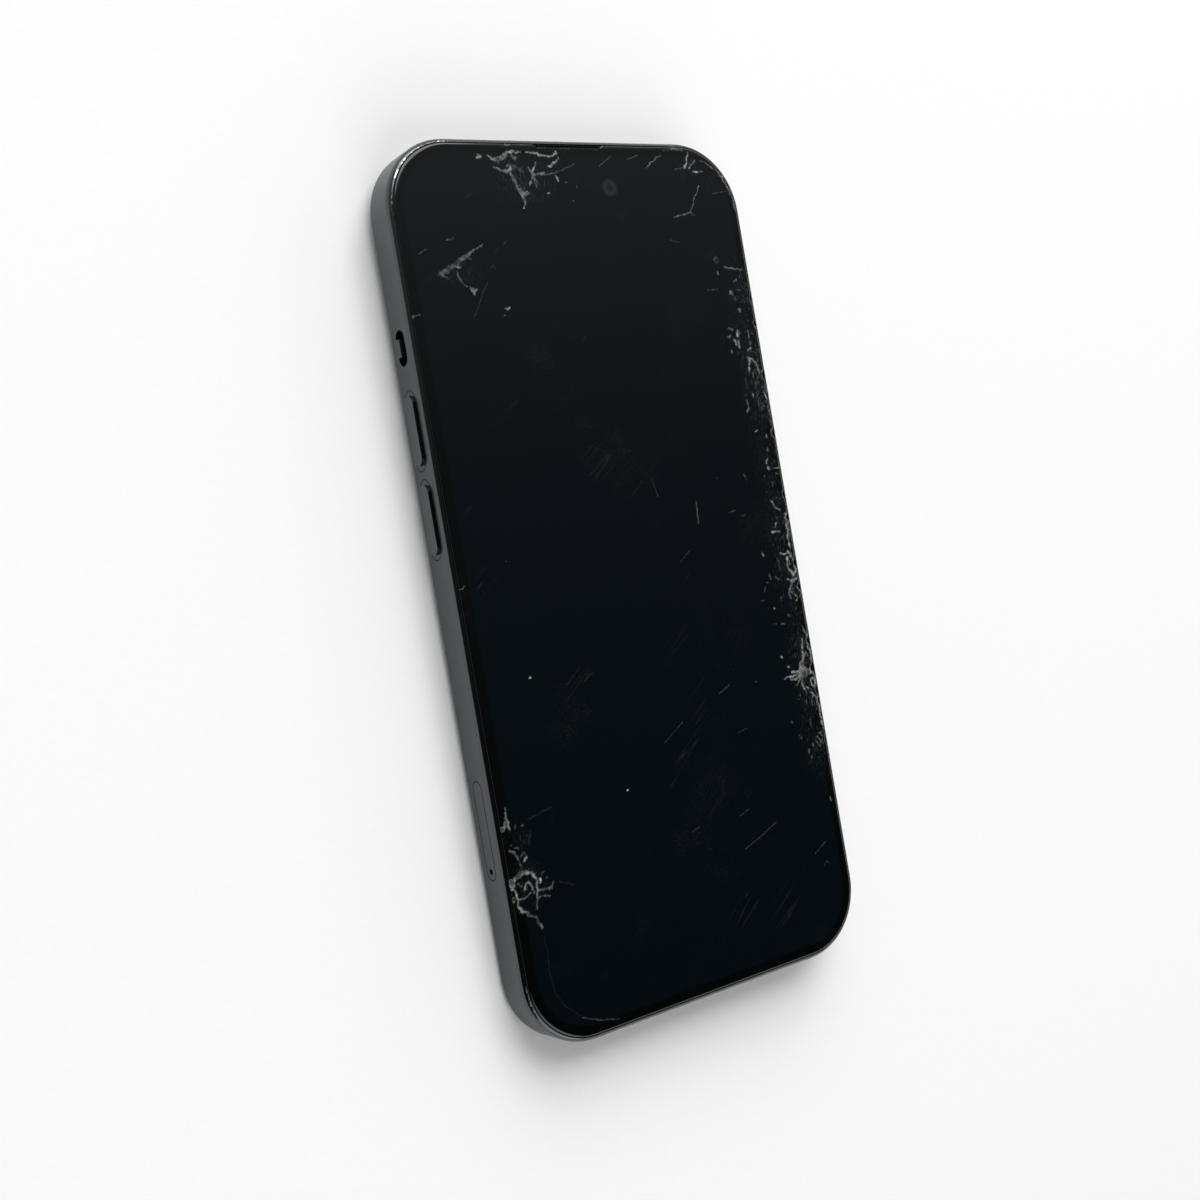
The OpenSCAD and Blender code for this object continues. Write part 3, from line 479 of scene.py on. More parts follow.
finish("phosphor", (0.70, 0.48, 0.06), (0.85, 0.68, 0.16), (0.5, 0.7), pattern=cells(0.1))
finish("bracket_steel", (0.36, 0.36, 0.37), (0.50, 0.50, 0.51), (0.25, 0.4), metal=1.0,
       pattern=brushed(0.12), depth=0.003)
finish("battery_foil", (0.014, 0.014, 0.016), (0.026, 0.026, 0.029), (0.25, 0.4),
       pattern=cells(7, "SMOOTH_F1"), depth=0.06, scratched=0.2)
finish("tab_white", (0.62, 0.62, 0.61), (0.74, 0.74, 0.73), (0.5, 0.65), grain=0.4)
finish("board_green", (0.006, 0.045, 0.022), (0.018, 0.085, 0.045), (0.25, 0.4),
       pattern=cells(0.7), depth=0.02, coat=0.5)
finish("chip_black", (0.010, 0.010, 0.012), (0.020, 0.020, 0.022), (0.45, 0.6), grain=0.1)
finish("screw_steel", (0.30, 0.30, 0.32), (0.46, 0.46, 0.48), (0.2, 0.35), metal=1.0,
       pattern=brushed(0.1), depth=0.003)
finish("coil_copper", (0.42, 0.13, 0.04), (0.70, 0.29, 0.11), (0.25, 0.4), metal=1.0,
       pattern=turned(0, 0, 0.4), depth=0.05)
finish("port_steel", (0.28, 0.28, 0.29), (0.40, 0.40, 0.41), (0.2, 0.35), metal=1.0,
       pattern=brushed(0.12, (1, 1, 0.05)), depth=0.003, scratched=0.3)
print("finishes so far:", len(finishes))

# %% [markdown]
# ## The front glass as a lattice
# The glass is a flat sheet with rounded corners and a rounded rim. Its flat top is a
# lattice of small cells. At a corner, the squares round the corner's centre become
# circles: a point keeps the larger of its two distances from that centre, as a radius.

# %% The lattice
glass_low, glass_high = (np.array(corner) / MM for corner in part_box("cover_glass"))
HALF = glass_high[:2]          # half the width and half the length, in mm
RIM = 0.45                     # radius of the rounded rim
TURN = 11.3                    # radius of a corner
HEADROOM = 0.045               # kept free above the sheet for lifted splinters
SET_BACK = 0.14                # how far the edge stands back along the earpiece slit
LEVELS = 5                     # times that a cell can be halved
GRID = np.array([14, 30]) << LEVELS
top = glass_high[2] - HEADROOM
flat = HALF - RIM
core = HALF - TURN
steps = [np.linspace(-1, 1, n + 1) * size for n, size in zip(GRID, flat)]
square = np.stack(np.meshgrid(*steps, indexing="ij"), -1)


def round_corners(points):
    """Squares round each corner's centre become circles of the same reach."""
    beyond = np.maximum(np.abs(points) - core, 0)
    reach = beyond.max(-1, keepdims=True)
    length = np.linalg.norm(beyond, axis=-1, keepdims=True)
    pulled = beyond * np.divide(reach, length, out=np.ones_like(reach), where=length > 0)
    return np.sign(points) * (np.minimum(np.abs(points), core) + pulled)


def in_slit(x):
    """1 for the part of the top edge along the earpiece slit, 0 beside it."""
    ends = [corner[0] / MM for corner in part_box("earpiece_mesh")]
    return np.clip(np.minimum(x - ends[0], ends[1] - x) / 0.25, 0, 1)


sheet = round_corners(square)
sheet[:, -1, 1] -= SET_BACK * in_slit(sheet[:, -1, 0])
X, Y = sheet[..., 0], sheet[..., 1]
print("lattice cells of", (2 * flat / GRID).round(3), "mm")

# %% [markdown]
# ## Noise and crumbs
# Glass breaks in a ragged way. `uneven` is smooth noise: random numbers on a coarse
# grid, with a soft blend between them. `crumbs` parts the plane into small pieces: each
# point belongs to the nearest of many scattered seeds, and the difference between the
# distances to the two nearest seeds is small on the lines between the pieces.

# %% Noise and crumbs
TILES = 256                    # squares after which the noise repeats
FAR = 1000                     # squares added, so that every number of a square is above 0


def squares_of(x, y, size):
    """Each point's place counted in squares of `size` mm, and the square that it is in."""
    p, q = x / size + FAR, y / size + FAR
    return p, q, np.floor(p).astype(int), np.floor(q).astype(int)


def uneven(x, y, size, seed):
    """Noise from -1 to 1 whose bumps are `size` mm across: four random corner values,
    blended by the smooth share 3t^2 - 2t^3 of the way between them."""
    table = np.random.default_rng(seed).uniform(-1, 1, (TILES, TILES))
    p, q, i, j = squares_of(x, y, size)
    s, t = p - i, q - j
    s, t = s * s * (3 - 2 * s), t * t * (3 - 2 * t)
    i, j, k, m = i % TILES, j % TILES, (i + 1) % TILES, (j + 1) % TILES
    near = table[i, j] * (1 - s) + table[k, j] * s
    far = table[i, m] * (1 - s) + table[k, m] * s
    return near * (1 - t) + far * t


def crumbs(x, y, size, seed):
    """A random number for the piece each point lies in, and its distance in mm from the
    line to the next piece. Seeds sit one to a square, anywhere in it."""
    rng = np.random.default_rng(seed)
    seeds, lots = rng.uniform(0, 1, (2, TILES, TILES)), rng.uniform(0, 1, (TILES, TILES))
    p, q, i, j = squares_of(x, y, size)
    nearest = np.full(x.shape, 9.0)
    second, lot = nearest.copy(), np.zeros(x.shape)
    for di in (-1, 0, 1):
        for dj in (-1, 0, 1):
            k, m = (i + di) % TILES, (j + dj) % TILES
            away = np.hypot(i + di + seeds[0, k, m] - p, j + dj + seeds[1, k, m] - q)
            second = np.minimum(second, np.maximum(nearest, away))
            lot = np.where(away < nearest, lots[k, m], lot)
            nearest = np.minimum(nearest, away)
    return lot, (second - nearest) * size / 2


# %% [markdown]
# ## The cracks
# A crack shows because its two faces scatter light. Each is a stroke: how white it is,
# its half width in mm, and the points it runs through, from the middle of the screen.
# A stroke may have a width for each of its points, for wedges and tails. The strokes are
# written as a table, one to a row, because they are places and not a rule. Two rows are painted
# highlights on the glass edge, not cracks.

# %% Reading a table of strokes
def read_strokes(table):
    """Strokes from rows of "whiteness: half width or widths: x y, x y, ...". A line that
    begins with spaces goes on with the row before it."""
    strokes = []
    for row in table.strip().replace("\n ", " ").splitlines():
        white, widths, path = row.split(":")
        path = np.array([point.split() for point in path.split(",")], float)
        strokes.append((float(white), np.array(widths.split(), float), path))
    return strokes


# %% Strokes of the upper left break
# The last row, along y = 72.25 under the earpiece slit, is no crack but a painted highlight of
# the glass edge there
top_break = read_strokes("""
0.9: 0.4: -18.2 70.6, -17.7 70.9
0.9: 0.2 0.6 0.4 0.3 0.2: -16.2 70.7, -14.7 70.1, -13 70.9, -12 71.35, -9.6 71.65
0.75: 0.15 0.3 0.25 0.2 0.3: -8.6 71.65, -7 71.4, -6 71, -3.6 70.85, -2.6 71.65
0.6: 0.35: -11.5 70.8, -11 70.4
0.85: 0.35 0.3 0.12: -4.5 69.3, -3 70.1, -2.3 70.5
0.8: 0.15 0.3 0.4 0.3: -15.4 69.1, -14.2 68.5, -12.8 68.3, -12.2 68.8
0.5: 0.3 0.5 0.4: -12.7 69.2, -11.2 68.9, -9.6 68.3
0.95: 0.5 0.5 0.45 0.6 0.5: -12.3 67.9, -11.7 66.6, -11.4 65.4, -10.4 64.6, -9.7 64.7
0.8: 0.6 0.35 0.1: -10.4 64.1, -10.4 63.2, -10.7 62
0.8: 0.4 0.12: -8.1 67.6, -7.1 69.9
0.7: 0.4 0.12: -8.1 67.6, -8.6 69.1
0.75: 0.4 0.15: -8.1 67.5, -5.9 68
0.75: 0.35 0.15: -8.2 67.5, -8.9 65.9
0.6: 0.35 0.12: -8 67.4, -7.7 65.7
0.6: 0.3 0.12: -8 67.5, -7.1 66.2
0.5: 0.15 0.25 0.12: -7 67.6, -5 67.9, -3.4 68.2
0.3: 0.12 0.2 0.12: -3.4 68.2, -1.6 68.7, 0.8 69.7
0.9: 0.28: -3.4 67.6, -3.2 66.6
0.7: 0.2: -5.7 64.6, -5.3 64.6
0.4: 0.2: -0.9 63.4, -0.7 63.4
0.35: 0.15: 0.4 65.9, 0.4 65.6
0.3: 0.2: -1.8 66.5, -1.5 66.4
0.25: 0.1: -6.2 72.25, 6.2 72.25
""")

# %% Strokes of the feather on the left
left_feather = read_strokes("""
0.65: 0.45 0.55 0.5 0.35 0.12: -28.7 51.6, -27.2 52.2, -26 52.8, -23.8 54.1, -20.3 56.2
0.6: 0.3 0.15: -28.4 51.3, -27.3 50.7
0.5: 0.3 0.12: -25.6 52.8, -24.7 52.5
0.4: 0.2 0.12: -23.2 54.2, -22.5 53.8
0.5: 0.2 0.2 0.15: -25.7 51.8, -25 50.1, -24.2 49.4
0.7: 0.35: -23.7 49, -22.8 49, -23.1 48.2, -23.7 49
0.2: 0.14: -20.3 50, -21.5 48.4, -22.6 46.4, -23.8 44.5
0.8: 0.3 0.25: -17.7 45.7, -16.8 45.7
0.5: 0.2: -18.2 44.5, -18 44.5
0.3: 0.16: -31.9 55, -30.5 55.6
0.35: 0.16: -26.5 57, -25.1 57.4
0.3: 0.16: -15.8 56.3, -15.4 56.7
0.2: 0.16: -19.2 52.4, -18.6 52.9, -18.4 52.3
0.55: 0.16: -35 45.1, -33.6 45.2
""")

# %% Strokes of the upper right corner
# The row from 20.3 72.2 to 24.6 72.4 is no crack but a painted highlight on the top rim of the
# glass
right_corner = read_strokes("""
0.35: 0.16: 5.9 69.3, 8.7 71.1
0.35: 0.16: 12.1 70.6, 14.4 71.4
0.6: 0.12 0.16 0.28 0.12: 15.9 69, 17.3 70.1, 18.9 71.2, 19.6 71.6
0.4: 0.12 0.2 0.16: 20.3 72.2, 22.2 72.45, 24.6 72.4
0.9: 0.3 0.25 0.12: 24.5 69.3, 25 70.1, 25.7 71.9
0.6: 0.3 0.2 0.12: 25.4 69.2, 26.4 70, 27.2 70.6
0.4: 0.14: 22.1 68.9, 23.8 69.2
0.8: 0.2 0.22 0.14: 26.1 68.55, 27.6 68.55, 28.4 68.6
0.6: 0.14 0.2 0.25 0.2 0.25 0.3 0.2 0.14 0.12: 28.2 70.7, 29.4 70.3, 30.3 69.5, 31.5 68.9, 32.5
    67.8, 33.4 66.3, 34 64.6, 34.3 63.6, 34.6 61.5
0.7: 0.2: 27 66, 26.9 65.8
0.5: 0.12 0.17 0.17 0.17 0.2: 26.9 65.8, 26.3 64.8, 25.35 63.6, 24.8 62.3, 24.1 61.4
0.5: 0.22 0.18 0.12: 24.1 61.2, 22.6 60.75, 20.1 60.45
0.4: 0.14: 24.1 60.9, 25 60.65
0.25: 0.14: 18.5 56.3, 20.5 55.9
0.3: 0.14: 30 64.6, 33 65
""")

# %% [markdown]
# ## The crushed right edge
# Along the right side the phone struck something hard. Splinters lie in a band some
# four millimetres wide, with a bright burst below the middle, two loops of lifted glass
# above it, and rib marks where the crack front stopped and ran on.

# %% Strokes of the crushed edge
crushed_edge = read_strokes("""
0.4: 0.2: 28.1 53.1, 28.7 52.5, 28.1 51.9, 27.5 52.5, 28.1 53.1
0.7: 0.25: 28.1 50.4, 28.1 49.9
0.6: 0.25 0.22 0.15: 29.7 51.1, 31.6 50.9, 33.8 50.6
0.5: 0.2: 31.2 48.6, 32 48.9
0.6: 0.2: 31.8 46.95, 32 46.95
0.95: 0.5: 30.2 46.6, 30.5 46.2
0.4: 0.2: 30.9 45.2, 31.5 45.2
0.9: 0.4: 31.4 43.3, 31.8 43.5
0.3: 0.15: 25 47.2, 27.4 47.3
0.7: 0.3: 28.4 38.8, 27.8 38.6
0.95: 0.35: 30.3 39.5, 30.2 38.7
0.5: 0.3: 28.4 40.2, 29.2 39.9
0.9: 0.35: 29.2 37.9, 29.4 37.2
0.7: 0.35: 30.1 37.8, 30 36.5
0.5: 0.3: 28.1 36.1, 28.2 35.8
0.6: 0.2: 32.7 39.5, 32.7 37
0.85: 0.25: 32 35.9, 32.7 36.4
0.85: 0.3 0.35 0.3 0.2: 31.8 34.6, 32.6 34.3, 33.5 33.2, 33.7 31.8
0.8: 0.35 0.3: 31.9 34.4, 31.5 32.2
0.5: 0.3: 32.1 31.8, 32.1 31.2
0.6: 0.3: 31.4 27.9, 31.4 27.4
0.5: 0.25: 29.6 26.9, 30 25.4, 29.4 24.8
0.9: 0.3: 34.2 28, 34.3 26.9
0.3: 0.15: 30.2 31, 30.2 29
0.3: 0.15: 32.4 30, 32.4 25
0.4: 0.15: 34.3 32, 34.4 22
0.7: 0.2: 30.4 21.1, 31 21.3
0.5: 0.25: 33 20.3, 33 19.8
0.5: 0.25: 32.7 17.8, 32.7 17.4
0.85: 0.35: 32 15.8, 32 15.3
0.8: 0.3: 32.1 14.4, 32.1 14
0.7: 0.2: 33.5 14.2, 34.7 14.2
0.5: 0.2: 30.7 13.1, 30.8 12.8
0.5: 0.2: 32.4 11.8, 32.4 11.4
0.4: 0.2: 30.7 10.2, 30.8 9.9
0.4: 0.18: 26.6 12.6, 26.1 13.8
0.8: 0.25: 31.6 8.2, 32.2 7, 33.1 6.5
0.9: 0.3 0.4 0.3 0.3: 34.3 5.8, 34.2 4.2, 34 2, 33.9 -0.4
0.7: 0.3: 31.6 4.1, 31.5 3.7
0.7: 0.25: 30.4 2.8, 32.2 2.6
0.35: 0.15: 23.9 6.4, 24.6 6.5
0.3: 0.15: 22.1 7.4, 22.8 7.5
0.95: 0.3 0.35 0.35 0.4 0.4 0.35 0.25: 32.1 -1.4, 33.4 -1.3, 34.4 -2.8, 34.3 -4.8, 33.6 -5.7,
    32.7 -4, 32.8 -2.2
0.6: 0.2: 33.1 -2.2, 33.3 -3.6
0.8: 0.3: 32.2 -6, 33.3 -6.7, 34.3 -6.2
0.6: 0.3: 33 -6.9, 32 -8.5, 32.2 -9.7
0.55: 0.25: 32.6 -8.4, 33.8 -9.5, 33.4 -10.2
0.5: 0.3: 27.3 -0.7, 27.5 -1.2
0.6: 0.3: 31.5 -1.4, 31.7 -1.4
0.3: 0.3: 30.7 -2.2, 30.8 -4.2
0.5: 0.25: 28.2 -4.7, 28.2 -5.7
0.5: 0.25: 29.4 -5.3, 30.1 -5.9
0.5: 0.2: 27 -6.1, 27.4 -6.1
0.35: 0.2: 26.7 -6.8, 26.3 -7.5
0.3: 0.16: 25.2 -9.1, 25.9 -9.1
0.75: 0.28: 27.8 -10.9, 28 -11
0.4: 0.25: 31 -12.5, 31.1 -12.9
0.75: 0.22: 28.9 -13.9, 29.6 -14.1
0.3: 0.16: 27.2 -13.6, 27.9 -13.6
0.9: 0.28: 27.5 -19.6, 27.8 -19.9
0.7: 0.25: 28.6 -21.7, 29 -21.9
0.7: 0.15 0.35 0.25: 33.6 -15, 34.2 -16, 34.7 -17.6
0.95: 0.2 0.35 0.4 0.4: 33.1 -17.3, 32.8 -18.6, 33 -20, 32.6 -21
0.9: 0.3 0.4 0.4: 34.2 -18.4, 34.5 -20, 34.6 -22.3
0.7: 0.2: 33.6 -19.6, 33.8 -20.6
1: 0.5 0.9 0.7 0.5: 32.2 -21.4, 32 -22.8, 33.2 -23.4, 34.8 -23.6
1: 0.8 0.7 0.4: 31.8 -22.6, 31.3 -23.6, 32.8 -24
0.9: 0.5 0.3 0.15: 31.4 -23.4, 29.4 -23.5, 27.6 -23.7
0.9: 0.4 0.3 0.15: 31.4 -23.8, 30.2 -24.2, 29 -24.1
0.9: 0.4 0.15: 31.4 -22.9, 29.6 -22.7
0.8: 0.4 0.15: 31.6 -24, 30.2 -25.4
0.8: 0.35 0.3 0.2: 31.8 -24.2, 31.5 -25.7, 32.2 -26.8
1: 0.3: 32.5 -26.1, 32.7 -26.3
0.8: 0.22: 33.7 -24.6, 33.7 -25.8, 34.3 -26.4, 34.6 -25.2, 34.1 -24.5
0.8: 0.2 0.35 0.3: 33.3 -26.9, 33.9 -27.8, 34.6 -28.4
0.7: 0.35 0.25 0.2: 34.2 -28.8, 34.5 -31, 34.6 -34
0.3: 0.3: 31.7 -31.5, 31.9 -33.2
0.5: 0.22: 33.5 -34.7, 34.2 -35.4
0.5: 0.18: 32.7 -35.2, 33.9 -36.7
0.4: 0.18: 32.3 -35.9, 33.3 -37
0.5: 0.3: 30.4 -37.3, 30.4 -37.8
0.5: 0.25: 31.5 -36.3, 31.5 -36.8
0.4: 0.22: 30.7 -38.6, 30.8 -38.9
0.4: 0.22: 29.1 -34.6, 29.1 -34.9
0.4: 0.22: 27.5 -31.5, 27.5 -31.9
0.6: 0.2: 33.6 -46.7, 33.6 -47.2
""")

# %% [markdown]
# ## The shell-shaped break at the lower left
# A blow near the lower left corner lifted a round shell of glass. A thin crack runs from
# it down the side and turns with the corner. Lone scratches cross the rest.

# %% Strokes of the lower left break and the scratches
lower_left = read_strokes("""
0.6: 0.15 0.25 0.35: -33.5 -33.7, -33.8 -35.4, -34.5 -37
0.6: 0.2 0.35: -33.7 -35.4, -33.3 -37
0.4: 0.22: -34.2 -36.2, -33.4 -36.4
0.35: 0.22: -32.3 -36.5, -32.3 -37.2
0.5: 0.25: -31.3 -36.9, -31 -36.9
0.15: 0.2: -29.9 -36.3, -27.3 -35.6, -25.2 -35.3
0.18: 0.25: -29.75 -38.1, -30.4 -40
0.45: 0.2 0.3 0.25: -34.2 -40.2, -33.1 -41.2, -32.6 -42.2
0.3: 0.25 0.3: -32.6 -42.2, -32.4 -43.6
0.5: 0.35: -33 -40.2, -32.3 -40.3
0.3: 0.3: -33.8 -39.4, -33.5 -39.6
0.3: 0.25: -32.2 -41.6, -31.6 -41, -31.3 -41.8
0.8: 0.3: -31.7 -42.6, -31.2 -42
0.85: 0.3 0.6 0.5 0.35 0.3: -34.2 -44.9, -33.2 -44.5, -32.3 -44.3, -30.7 -44.7, -30 -45.8
0.6: 0.3 0.3 0.2: -30.1 -45.8, -30.1 -47.4, -30.7 -48.7
0.5: 0.25 0.2: -30.6 -48.7, -31 -50.4
0.8: 0.3 0.25 0.35 0.3 0.3: -34.4 -45.2, -34.5 -46.4, -34.1 -47.7, -34.1 -49.3, -33.9 -50.2
0.55: 0.25 0.25 0.45 0.3: -33.8 -49.8, -32.6 -50.9, -31.5 -51.7, -30.7 -53.5
0.85: 0.3: -32.6 -47, -32.2 -46.2, -31.8 -45.9, -31.3 -46.4, -31.2 -47
0.6: 0.2: -33.9 -48.2, -32.6 -48.2, -31.7 -47.6
0.4: 0.2: -33.7 -45.6, -33 -46.4
0.5: 0.25: -31 -46.9, -30.9 -47.9
0.9: 0.3: -29.5 -45.9, -29.5 -46.3
0.4: 0.22: -28.3 -46.1, -28.1 -46.1
0.25: 0.3: -29.3 -45.4, -28.7 -45
0.55: 0.25 0.35 0.35 0.15: -30 -47.7, -28.6 -47.7, -27.4 -47.8, -27 -47
0.45: 0.25 0.2 0.14: -30.4 -48.9, -29.3 -48.6, -28 -49
0.14: 0.16: -26 -47.2, -23.3 -48.4
0.3: 0.2: -34.9 -52.7, -34.95 -55.2
0.3: 0.2: -35 -61.8, -34.5 -64.8
0.13: 0.13: -30.6 -54.7, -30.4 -57.5, -30.7 -61.1, -30.5 -62.9, -30.1 -64.5, -29.4 -65.9, -28.7
    -67, -27.6 -67.9, -26 -69.5
0.35: 0.13 0.15 0.18: -26 -69.5, -22.4 -71, -19.4 -71.7
""")
scratches = read_strokes("""
0.16: 0.13: 5.6 15.3, 6.4 11.9
0.3: 0.14: 14.4 10.1, 14.1 6.2
0.22: 0.13: 21.2 7.3, 22.3 7.6
0.13: 0.13: 8.7 0.1, 11.2 1.9
0.3: 0.14: -34.5 1.6, -34 2.1
0.16: 0.13: -0.9 -29.6, 3.4 -27
0.24: 0.13: 12.3 -23.6, 14.8 -22.5
0.16: 0.13: 14.8 -31.1, 17.3 -30.6
0.14: 0.13: 1.6 -45.6, 3.4 -45.1
0.16: 0.13: 12.3 -45.3, 14.4 -44.6
0.18: 0.13: 12.3 -51.1, 15.9 -49.9, 20.1 -48.1
0.18: 0.13: 27.7 -55.7, 30.7 -54.1
0.18: 0.14: 29.4 -58.3, 30.1 -57.6, 30.8 -58.2
0.9: 0.22: -25.1 -14.2, -24.9 -14.2
0.9: 0.22: -10.1 -35.8, -9.9 -35.8
0.25: 0.16: 20.8 -23, 21 -23
0.25: 0.16: -25.8 4.9, -25.6 4.9
0.2: 0.16: 19.8 13.7, 20 13.7
""")
strokes = top_break + left_feather + right_corner + crushed_edge + lower_left
print("cracks and chips drawn by hand:", len(strokes), "and scratches:", len(scratches))

# %% [markdown]
# ## Splinters too small to draw one by one
# Between the named marks the crushed band is full of splinters. They are scattered with
# a seeded generator: thick where the phone took its hardest blows, and thinning out
# inwards from the edge.

# %% Scattered splinters
rng = np.random.default_rng(7)
blows = np.array([47, 38, 33, 27, 15, 4, -4, -9, -19, -23.5, -29, -36])
count = 420
centre_y = rng.choice(blows, count) + rng.normal(0, 2.2, count)
centre_x = HALF[0] - 0.5 - np.abs(rng.normal(0, 2.3, count))
heading = np.pi / 2 + rng.normal(0, 0.6, count)
length = rng.gamma(2, 0.16, count)
ends = np.stack([np.cos(heading), np.sin(heading)], -1) * length[:, None] / 2
middle = np.stack([centre_x, centre_y], -1)
tiny = [(white, width, pair) for white, width, pair in zip(
    rng.uniform(0.1, 0.75, count) ** 1.3, rng.uniform(0.08, 0.17, count),
    np.stack([middle - ends, middle + ends], 1))]
print("splinters scattered:", len(tiny), "longest", length.max().round(2), "mm")

# %% [markdown]
# ## From strokes to whiteness
# For each lattice point near a stroke, the distance to the stroke is measured from a
# point pushed about by noise, which makes the edges ragged. The whiteness is full in the
# middle of the stroke and falls away at its half width. Where strokes meet, the whiter
# one counts.

# %% Whiteness
SLIMMER = 0.85                 # the share of its written width that a stroke gets
WIDE = 0.22                    # half width in mm past which a stroke is hollow


def nearest_on_path(x, y, path):
    """For each point, its distance to each straight run of the path, and how far along
    the whole path the nearest place lies, from 0 to 1."""
    start, step = path[:-1], np.diff(path, axis=0)
    length = np.maximum(np.hypot(*step.T), 1e-6)
    away = np.stack([x, y], -1)[:, None] - start
    share = np.clip((away * step).sum(-1) / length**2, 0, 1)
    distance = np.linalg.norm(away - share[..., None] * step, axis=-1)
    before = np.concatenate([[0], np.cumsum(length)[:-1]])
    return distance, (before + share * length) / length.sum()


def whiteness(strokes, x, y, raggedness):
    """The whitest stroke at each point: full within three tenths of its half width, and
    falling to nothing just past it. A wide stroke is dimmer and streaked in its middle,
    like a feather, and a thin one is less ragged."""
    push_x = raggedness * (uneven(x, y, 0.7, 1) + 0.8 * uneven(x, y, 0.26, 2))
    push_y = raggedness * (uneven(x, y, 0.7, 3) + 0.8 * uneven(x, y, 0.26, 4))
    feather = 0.5 + 0.5 * uneven(x * 1.6 + y * 0.5, y * 0.45 - x * 0.3, 0.3, 5)
    white = np.zeros(x.shape)
    for strength, width, path in strokes:
        widths = SLIMMER * np.broadcast_to(width, len(path))
        ragged = min(1, widths.max() / 0.3)
        reach = 1.1 * widths.max() + 2 * raggedness + 0.1
        near = ((x > path[:, 0].min() - reach) & (x < path[:, 0].max() + reach)
                & (y > path[:, 1].min() - reach) & (y < path[:, 1].max() + reach))
        distance, along = nearest_on_path(
            (x + ragged * push_x)[near], (y + ragged * push_y)[near], path)
        half = np.interp(along, np.linspace(0, 1, len(path)), widths)
        value = np.clip((1.1 - distance / half) / 0.8, 0, 1)
        wide = np.clip((half - WIDE) / 0.2, 0, 1)
        hollow = wide * np.clip(1.5 - 2 * distance / half, 0, 1)
        value = (value * (1 - hollow * (0.85 - 0.65 * feather[near][:, None]))).max(1)
        white[near] = np.maximum(white[near], strength * value)
    return white


# Besides cracks, the strokes carry two painted highlights on the glass edge
white = whiteness(strokes, X, Y, 0.2)
white = np.maximum(white, 1.7 * whiteness(scratches, X, Y, 0.05))
white = np.maximum(white, 0.7 * whiteness(tiny, X, Y, 0.1))
print("share of the glass that is broken white:", (white > 0.1).mean().round(4))

# %% [markdown]
# ## Haze between the cracks
# In the crushed band and inside the two breaks, fine crumbs and dust give the black a greenish
# grey haze. It follows the same blows, and the crumbs part it into pieces, of which a few stand
# up and are painted pale: partly the frost of their broken faces, partly a painted glint.

# %% Haze and crumbs
def patch(x, y, at, size):
    """A soft round patch: 1 in its middle, 0 beyond its two half axes."""
    return np.clip(1.3 - np.hypot((x - at[0]) / size[0], (y - at[1]) / size[1]), 0, 1)


inward = HALF[0] - X
edge_y = [-46, -38, -30, -22, -12, -4, 6, 14, 28, 38, 47, 56]
edge_haze = [0, 0.45, 0.5, 0.9, 0.4, 0.7, 0.6, 0.4, 0.7, 0.8, 0.5, 0]
band = np.clip(1.25 - inward / 5.5, 0, 1) * np.interp(Y, edge_y, edge_haze)
for at, size, strength in (
        ((-9.8, 67), (6, 4.2), 0.55), ((-25, 51.5), (4, 2.5), 0.25), ((-32, -47), (3, 4), 0.55),
        ((-31.3, -38.9), (1.4, 1.6), 0.4), ((26, 70.2), (3.2, 1.6), 0.3),
        ((31.5, 68), (4, 3), 0.25)):
    band = np.maximum(band, strength * patch(X, Y, at, size))
band *= np.clip(0.75 + 0.5 * uneven(X, Y, 2.2, 11) + 0.3 * uneven(X, Y, 0.8, 12), 0, 1)
lot, gap = crumbs(X + 0.2 * uneven(X, Y, 0.6, 5), Y + 0.2 * uneven(X, Y, 0.6, 6), 0.95, 9)
seam = np.clip(1 - gap / 0.1, 0, 1) * np.clip(2.2 * band - 0.8, 0, 1)
seam *= uneven(X, Y, 1.5, 14) > 0
# Raised crumbs: partly frost of broken glass, partly a painted glint
raised = (lot > 0.9) * np.clip(2 * band - 0.7, 0, 1) * (0.5 + 0.5 * uneven(X, Y, 0.3, 15))
white = np.maximum(white, np.maximum(0.4 * seam, 0.5 * raised))
speckle = 0.78 + 0.3 * uneven(X, Y, 0.32, 21) + 0.2 * uneven(X, Y, 0.9, 22)
white = np.clip(white * speckle, 0, 1)
print("hazy share:", (band > 0.2).mean().round(3))

# %% [markdown]
# ## Relief
# Broken glass isn't flat: cracks are shallow grooves with lifted lips, and crumbs lie a
# few hundredths of a millimetre high or low, each tilted its own way.

# %% Relief
tilt = (lot - 0.5) * 0.05 + 0.03 * uneven(X, Y, 0.5, 31)
relief = np.clip(2 * white, 0, 1) * (tilt - 0.05 * white)
relief += 0.02 * np.clip(2 * band - 0.6, 0, 1) * (lot - 0.7)
relief = np.clip(relief, -0.2, HEADROOM - 0.005)
busy_point = (white > 0.015) | (np.abs(relief) > 0.002)
busy = busy_point[:-1, :-1] | busy_point[1:, :-1] | busy_point[:-1, 1:] | busy_point[1:, 1:]
print("relief from", relief.min().round(3), "to", relief.max().round(3), "mm")

# %% [markdown]
# ## Small cells only where they are needed
# A lattice fine enough for hair cracks would have half a million cells. Most of the
# glass is flat, so large cells do there. The cells are halved step by step towards the
# breaks. A cell's neighbours are never more than twice or half its size, and a larger
# cell takes up the extra point in the middle of its side, so no gap opens between them.

# %% Cells of many sizes
def grow(cells):
    """Each marked cell marks the eight round it too."""
    wide = np.pad(cells, 1)
    wide = wide[:-2] | wide[1:-1] | wide[2:]
    return wide[:, :-2] | wide[:, 1:-1] | wide[:, 2:]


halved = [np.zeros_like(busy)]
needed = busy
for k in range(1, LEVELS + 1):
    needed = grow(needed)
    needed = needed.reshape(needed.shape[0] // 2, 2, needed.shape[1] // 2, 2).any((1, 3))
    if k > 1:
        needed[[0, -1]] = needed[:, [0, -1]] = True
    halved.append(needed)

